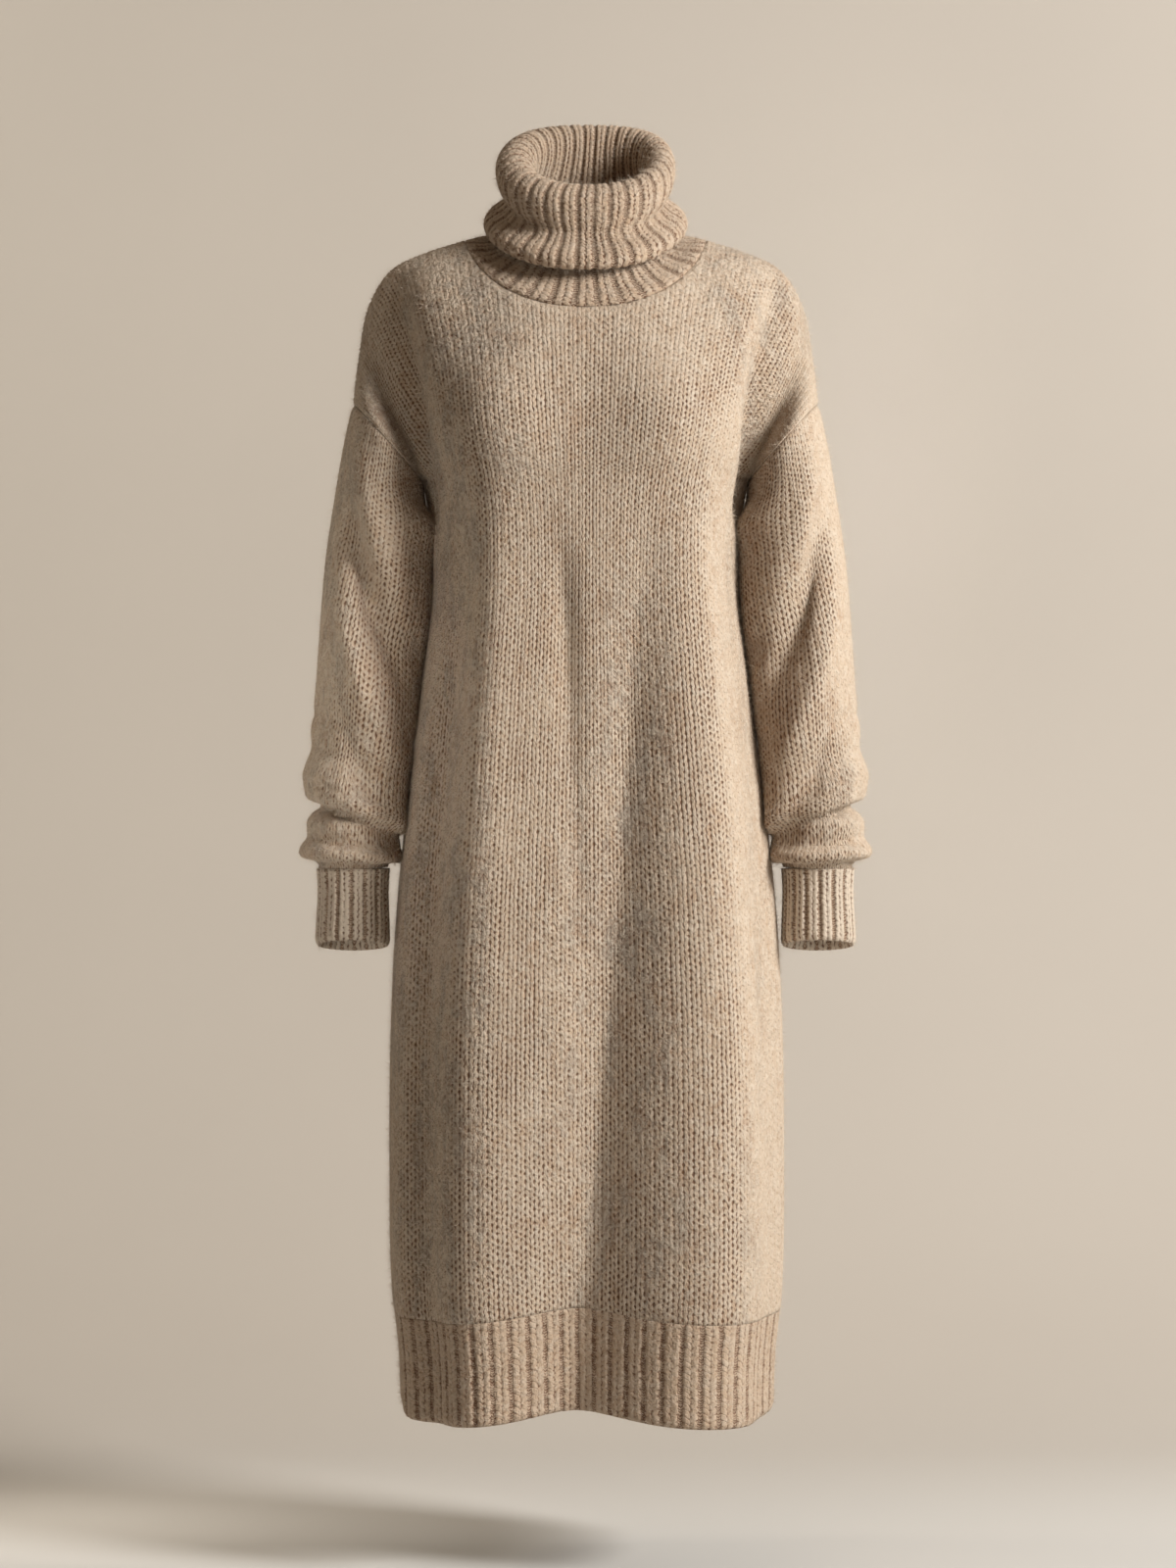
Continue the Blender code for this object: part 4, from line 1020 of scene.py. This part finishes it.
def purl(place, course):
    """Height of the small slanting bumps of a groove: place is 0 in its middle, 1 at its edges."""
    wave = (course * 2.3 + place * 0.55) * (2 * math.pi)
    return (wave.math("COSINE") * 0.5 + 0.5).ramp(0.05, 0.75) * 0.62 + 0.12


def band(x, middle, half_width):
    return (1.0 - abs((x - middle) / half_width)).ramp(0.0, 0.45)


def heather(tree, where, outward_or_up, grain):
    """How grey and how brown the yarn is, and where the darker bands are: grey heather that is
    also painted shade in the big folds and on the flank away from the key light.
    """
    x, y, z = separate(tree, where)
    heather_and_shade_bands = noise(tree, (x * 9.0, y * 9.0, z * 1.6), 1.0, 1.0).ramp(0.46, 0.60) * 0.7
    lower = (z * -1.0).ramp(0.22, 0.45)
    # Painted shade: the outward side of the -X flank, which faces away from the key light.
    shaded_flank = outward_or_up * (x * -1.0).ramp(0.02, 0.10)
    for other in (band(x, *LEFT_HEATHER_SHADE_BAND), band(x, *FOLD_HEATHER_SHADE_BAND) * lower, shaded_flank):
        heather_and_shade_bands = heather_and_shade_bands.at_least(other)
    heather_and_shade_bands = heather_and_shade_bands * 0.85 + 0.15
    grey = noise(tree, (x * 44.0, y * 44.0, z * 17.0), 1.0, 6.0, 0.75)
    brown = noise(tree, (x * 52.0, y * 52.0 + 7.0, z * 24.0 + 3.0), 1.0, 6.0, 0.74)
    grey = (grey + (grain - 0.5) * 0.16).ramp(0.46, 0.60) * heather_and_shade_bands
    return grey, (brown + (grain - 0.5) * 0.16).ramp(0.50, 0.64), heather_and_shade_bands


def wandering(tree, stitch, wander):
    """(wale, course) as the yarn wanders a little, so that no two stitches are alike."""
    across, course, _ = separate(tree, stitch)
    course = course + (noise(tree, stitch, 0.55) - 0.5) * COURSE_WANDER
    column = noise(tree, (across.math("ROUND"), 0.0, 5.0), 3.7, 0.0)
    course = course + (column - 0.5) * COLUMN_WANDER
    stray = noise(tree, (across * 0.5, course * 0.45, 2.0), 1.0, 3.0, 0.6)
    return across + (stray - 0.5) * wander, course


def stitches_at(tree, knit, where, across, course, veil):
    """(height, share of a rib's knit wale or None). The gaps are weaker where veil is under 1."""
    place = across.fract()
    cell = ((across * 2.0).math("ROUND"), (course * 2.0).math("ROUND"), 0.0)
    stray = noise(tree, cell, 7.31, 0.0).ramp(0.20, 0.66)
    drift = noise(tree, (across * 0.30, course * 0.07, 9.0), 1.0, 4.0, 0.65)
    strength = (stray * 0.50 + drift.ramp(0.36, 0.64) * 0.50) * veil
    if not knit.ribbed:
        x, y, z = separate(tree, where)
        soft = noise(tree, where, 9.0).ramp(0.36, 0.62)
        chains = noise(tree, (x * 16.0, y * 9.0, z * 3.0), 1.0).ramp(0.42, 0.60)
        line = (chains * 0.50 + drift.ramp(0.42, 0.60) * 0.22 + 0.02) * veil
        strength = strength * 0.60 + (soft * 0.22 + 0.18) * veil
        return stocking(place, course, strength, 0.85, line), None
    knit_place = (place - RIB_FROM) / (RIB_TO - RIB_FROM)
    inside = knit_place.ramp(-0.05, 0.06) * (1.0 - knit_place).ramp(-0.05, 0.06)
    rib = noise(tree, (across.math("FLOOR"), course * 0.03, 6.0), 2.9, 1.0).ramp(0.34, 0.62)
    strength = (strength * 0.40 + 0.08 + rib * 0.30) * knit.openness
    kept = knit_place.at_least(0.08).at_most(0.92)
    ridge = stocking(kept, course, strength, 1.10, 0.75)
    groove = abs((place + 0.5).fract() - 0.5) / RIB_FROM
    valley = purl(groove, course) * knit.openness + 0.30 * (1 - knit.openness)
    return (ridge * inside).at_least(valley * (1.0 - inside)), inside


def wool(name):
    """The material of that name in KNITS: its colour and the finer shape of its stitches."""
    knit = KNITS[name]
    material, tree, shader = principled(name, 0.92, 0.18)
    stitch = new_node(tree, "UVMap", uv_map="stitch").outputs["UV"]
    coordinates = new_node(tree, "TexCoord")
    where = coordinates.outputs["Object"]
    x = separate(tree, where)[0]
    facing_x, _, facing_z = separate(tree, coordinates.outputs["Normal"])
    outwards = facing_x * x.math("SIGN")
    # Painted sheen: sides that face outwards or up are paler, and their gaps fainter.
    outward_or_up = outwards.ramp(0.45, 0.88).at_least(facing_z.ramp(0.10, 0.70))
    # Painted shade on the inner sides of the sleeves, which face the body.
    inner_sleeve_shade = (outwards * -1.0).ramp(0.10, 0.80) * abs(x).ramp(0.125, 0.150)

    across, course = wandering(tree, stitch, knit.wander)
    grain = noise(tree, where, 420.0, 3.0, 0.7)
    tuft = noise(tree, where, 190.0, 3.0, 0.6).ramp(0.34, 0.66)
    hair = noise(tree, where, 1500.0, 2.0, 0.6)
    fibre = noise(tree, (across * 11.0, course * 1.6 + across, 0.0), 1.0, 4.0, 0.7)
    grey, brown, heather_and_shade_bands = heather(tree, where, outward_or_up, grain)
    # The painted sheen and the grey heather weaken the gaps' painted shade.
    veil = 1.0 - (outward_or_up * 0.94).at_least(grey * 0.75)
    height, inside = stitches_at(tree, knit, where, across, course, veil)

    ply = noise(tree, ((across * 2.0).math("FLOOR") * 3.3, course * 0.55, 3.1), 1.0, 3.0, 0.65)
    flecks = noise(tree, (across * 2.3, course * 1.1, 8.4), 1.5, 2.0, 0.6).ramp(0.54, 0.76)
    nubs = (tuft + (grain - 0.5) * 0.8).ramp(0.55, 0.85)
    colour = mix(tree, ply.ramp(0.42, 0.68) * 0.62, OATMEAL, PALE)
    for share, tint in (
        (grey * knit.grey, GREY),
        (brown * knit.brown, BROWN),
        (nubs * knit.nubs, PALE),
        # painted sheen on the sides that face outwards or up
        (outward_or_up * SHEEN_PALE, PALE),
        (flecks * FLECKS, BROWN),
    ):
        colour = mix(tree, share, colour, tint)
    if knit.ribbed:
        colour = mix(tree, RIB_WARMTH, colour, BROWN)
        colour = mix(tree, knit.pale, colour, PALE)
        colour = mix(tree, inside, PURL_PALE, colour)
    rough = heather_and_shade_bands * 0.6 + 0.25
    depth = height + (fibre - 0.5) * 0.60 + (tuft - 0.5) * rough * 0.55 + (grain - 0.5) * 0.9
    # Painted shade: the lower the relief, the nearer its colour comes to the gaps' shade colour.
    colour = mix(tree, depth.ramp(0.05, 0.80) * 0.84 + 0.16, GAP_SHADE, colour)
    # Painted shade where the sleeves face the body.
    if not knit.ribbed:
        colour = mix(tree, inner_sleeve_shade * INNER_SLEEVE_SHADE_SHARE, colour, GAP_SHADE)

    bump = new_node(tree, "Bump")
    relief = height + (fibre - 0.5) * 0.35 + (hair - 0.5) * 0.14 + (tuft - 0.5) * rough * 1.3
    fill(tree, bump, {"Strength": 1.0, "Distance": BUMP_DEPTH, "Height": relief})
    fill(tree, shader, {"Base Color": colour, "Normal": bump.outputs["Normal"]})
    fill(tree, shader, {"Sheen Weight": 0.18, "Sheen Roughness": 0.45, "Sheen Tint": SHEEN})
    return material


# ---- the haze of loose fibres ----
HAZE_SEED = 11
HAZE_FIBRES = 195000
HAZE_LENGTH = (0.0030, 0.0085)
HAZE_WIDTH = 0.00022
HAZE_ROOT = 0.0003  # how deep a fibre starts in the cloth
HAZE_RISE = (0.25, 1.0)  # how far it stands up: 0 lies on the cloth and 1 is upright
HAZE_COLOUR = (0.66, 0.575, 0.475)


def make_haze(pieces):
    """Short fibres that stand off the wool, each a thin triangle."""
    random = np.random.default_rng(HAZE_SEED)
    places, normals = [], []
    for piece in pieces:
        verts = piece.data.vertices
        for attribute, found in (("co", places), ("normal", normals)):
            values = np.empty(3 * len(verts))
            verts.foreach_get(attribute, values)
            found.append(values.reshape(-1, 3))
    place, normal = np.concatenate(places), np.concatenate(normals)
    chosen = random.integers(0, len(place), HAZE_FIBRES)
    normal = normal[chosen]
    root = place[chosen] - normal * HAZE_ROOT
    lean = random.normal(size=root.shape)
    lean -= normal * np.sum(lean * normal, axis=1, keepdims=True)
    rise = random.uniform(*HAZE_RISE, (len(root), 1))
    along = unit(normal * rise + unit(lean) * (1 - rise * rise) ** 0.5)
    across = unit(np.cross(along, random.normal(size=root.shape))) * (HAZE_WIDTH / 2)
    tip = root + along * random.uniform(*HAZE_LENGTH, (len(root), 1))
    corners = np.stack([root - across, root + across, tip], axis=1).reshape(-1, 3)
    faces = np.arange(len(corners)).reshape(-1, 3)
    material, tree, shader = principled("wool_haze", 0.9, 0.1)
    fill(tree, shader, {"Base Color": HAZE_COLOUR})
    mesh = new_mesh("wool_haze", corners.tolist(), faces.tolist(), material)
    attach(new_object("wool_haze", mesh), "root")


# ---- the room ----
FLOOR_Z = -1.205
WALL_Y = 1.60
BEND, BEND_STEPS = 0.90, 24  # radius of the sweep from floor to wall
ROOM_HALF, ROOM_TOP = 6.0, 5.0
ROOM_COLOUR = (0.588, 0.548, 0.497)
CLOUD = 0.965  # times that colour, in the wall's darker clouds
FLOOR_COLOUR = (0.655, 0.650, 0.630)
LIGHTS = table(
    "name place target size power colour spread_deg",
    ("key", (2.85, -1.85, 1.15), (0, 0, -0.45), 1.4, 188, (1.0, 0.965, 0.920), 180),
    ("wall_right", (1.9, 0.35, 0.9), (0.5, 1.6, -0.4), 0.8, 3, (1.0, 0.97, 0.93), 180),
    ("wall_left", (-1.9, 0.35, 0.9), (-0.5, 1.6, -0.4), 0.9, 6.5, (1.0, 0.92, 0.77), 124),
    ("low_left", (-1.1, -1.9, -0.75), (-0.27, 0, -0.42), 0.3, 0.18, (1.0, 0.94, 0.84), 18),
    ("floor_left", (-0.72, 0.28, -0.45), (-0.48, 0.18, -1.2), 0.25, 0.38, (1.0, 0.90, 0.78), 60),
)
WORLD_COLOUR, WORLD_STRENGTH = (1.0, 0.70, 0.46), 0.11
EYE = (0.00225, -4.5, -0.495)
SENSOR_MM, LENS_MM = 36.0, 112.5


def make_room():
    """A pale floor that sweeps up into the wall behind."""
    profile = [(-ROOM_HALF, FLOOR_Z), (WALL_Y - BEND, FLOOR_Z)]
    for n in range(1, BEND_STEPS + 1):
        turn = math.pi / 2 * n / BEND_STEPS
        y = WALL_Y - BEND + BEND * math.sin(turn)
        profile.append((y, FLOOR_Z + BEND * (1 - math.cos(turn))))
    profile.append((WALL_Y, ROOM_TOP))
    verts = [(x, y, z) for y, z in profile for x in (-ROOM_HALF, ROOM_HALF)]
    faces = [(2 * i, 2 * i + 1, 2 * i + 3, 2 * i + 2) for i in range(len(profile) - 1)]
    material, tree, shader = principled("plaster", 0.9, 0.1)
    where = new_node(tree, "TexCoord").outputs["Object"]
    cloud = noise(tree, where, 1.3, 3.0).ramp(0.3, 0.7)
    wall = mix(tree, cloud, ROOM_COLOUR, tuple(c * CLOUD for c in ROOM_COLOUR))
    near = 1.0 - separate(tree, where)[1].ramp(0.05, 1.15)
    fill(tree, shader, {"Base Color": mix(tree, near, wall, FLOOR_COLOUR)})
    # Seen from behind, the wall is clear, so that it doesn't stand before the dress's back.
    backfacing = new_node(tree, "NewGeometry").outputs["Backfacing"]
    clear = new_node(tree, "BsdfTransparent").outputs[0]
    either(tree, backfacing, shader.outputs[0], clear, "Material Output")
    room = new_object("room", new_mesh("room", verts, faces, material))
    room.data.shade_smooth()


def make_light(row):
    light = bpy.data.lights.new(row.name, "AREA")
    light.shape = "DISK"
    light.size = row.size
    light.energy = row.power
    light.spread = math.radians(row.spread_deg)
    light.color = row.colour
    lamp = new_object(row.name, light)
    lamp.location = row.place
    lamp.rotation_mode = "QUATERNION"
    lamp.rotation_quaternion = (Vector(row.target) - Vector(row.place)).to_track_quat("-Z", "Y")


def make_world():
    """A dim warm light all round. Past the room's edges, the camera sees the wall's colour."""
    world = bpy.data.worlds.new("studio")
    world.use_nodes = True
    tree = world.node_tree
    lit = tree.nodes["Background"]
    fill(tree, lit, {"Color": WORLD_COLOUR, "Strength": WORLD_STRENGTH})
    seen = new_node(tree, "Background", ROOM_COLOUR).outputs[0]
    by_camera = new_node(tree, "LightPath").outputs["Is Camera Ray"]
    either(tree, by_camera, lit.outputs[0], seen, "World Output")
    bpy.context.scene.world = world


def make_camera():
    scene = bpy.context.scene
    camera = bpy.data.cameras.new("camera")
    camera.sensor_width = SENSOR_MM
    camera.lens = LENS_MM
    eye = new_object("camera", camera)
    eye.location = EYE
    eye.rotation_euler = (math.pi / 2, 0, 0)
    scene.camera = eye
    scene.render.resolution_x, scene.render.resolution_y = 1200, 1600
    scene.view_settings.view_transform = "Standard"
    scene.view_settings.look = "None"


# ---- how each piece was cut: its flat width, length and area, in metres ----
CUTS = table(
    "piece width length area held hangs_from",
    ("knit_front", 0.580, 1.020, 0.505, "hung", ()),
    ("knit_back", 0.548, 1.030, 0.500, "hung", ()),
    ("knit_hem_rib_front", 0.576, 0.093, 0.0525, "hung", ("knit_front",)),
    ("knit_hem_rib_back", 0.544, 0.093, 0.0495, "hung", ("knit_back",)),
    ("knit_sleeve_left", 0.400, 0.450, 0.141, "hung", ("knit_front", "knit_back")),
    ("knit_sleeve_right", 0.400, 0.450, 0.141, "hung", ("knit_front", "knit_back")),
    ("knit_cuff_left", 0.227, 0.076, 0.0154, "hung", ("knit_sleeve_left",)),
    ("knit_cuff_right", 0.227, 0.076, 0.0154, "hung", ("knit_sleeve_right",)),
    ("knit_roll_collar", 0.560, 0.224, 0.101, "folded", ("knit_front", "knit_back")),
)


def main():
    body_knit, hem_rib, cuff_rib, collar_rib = (wool(name) for name in KNITS)
    pieces = [make_collar(collar_rib)]
    for side in (FRONT, BACK):
        pieces += [make_panel(side, body_knit), make_hem(side, hem_rib)]
    for side_x in (1, -1):
        pieces += [make_sleeve(side_x, body_knit), make_cuff(side_x, cuff_rib)]
    make_haze(pieces)
    make_room()
    for row in LIGHTS:
        make_light(row)
    make_world()
    make_camera()


main()
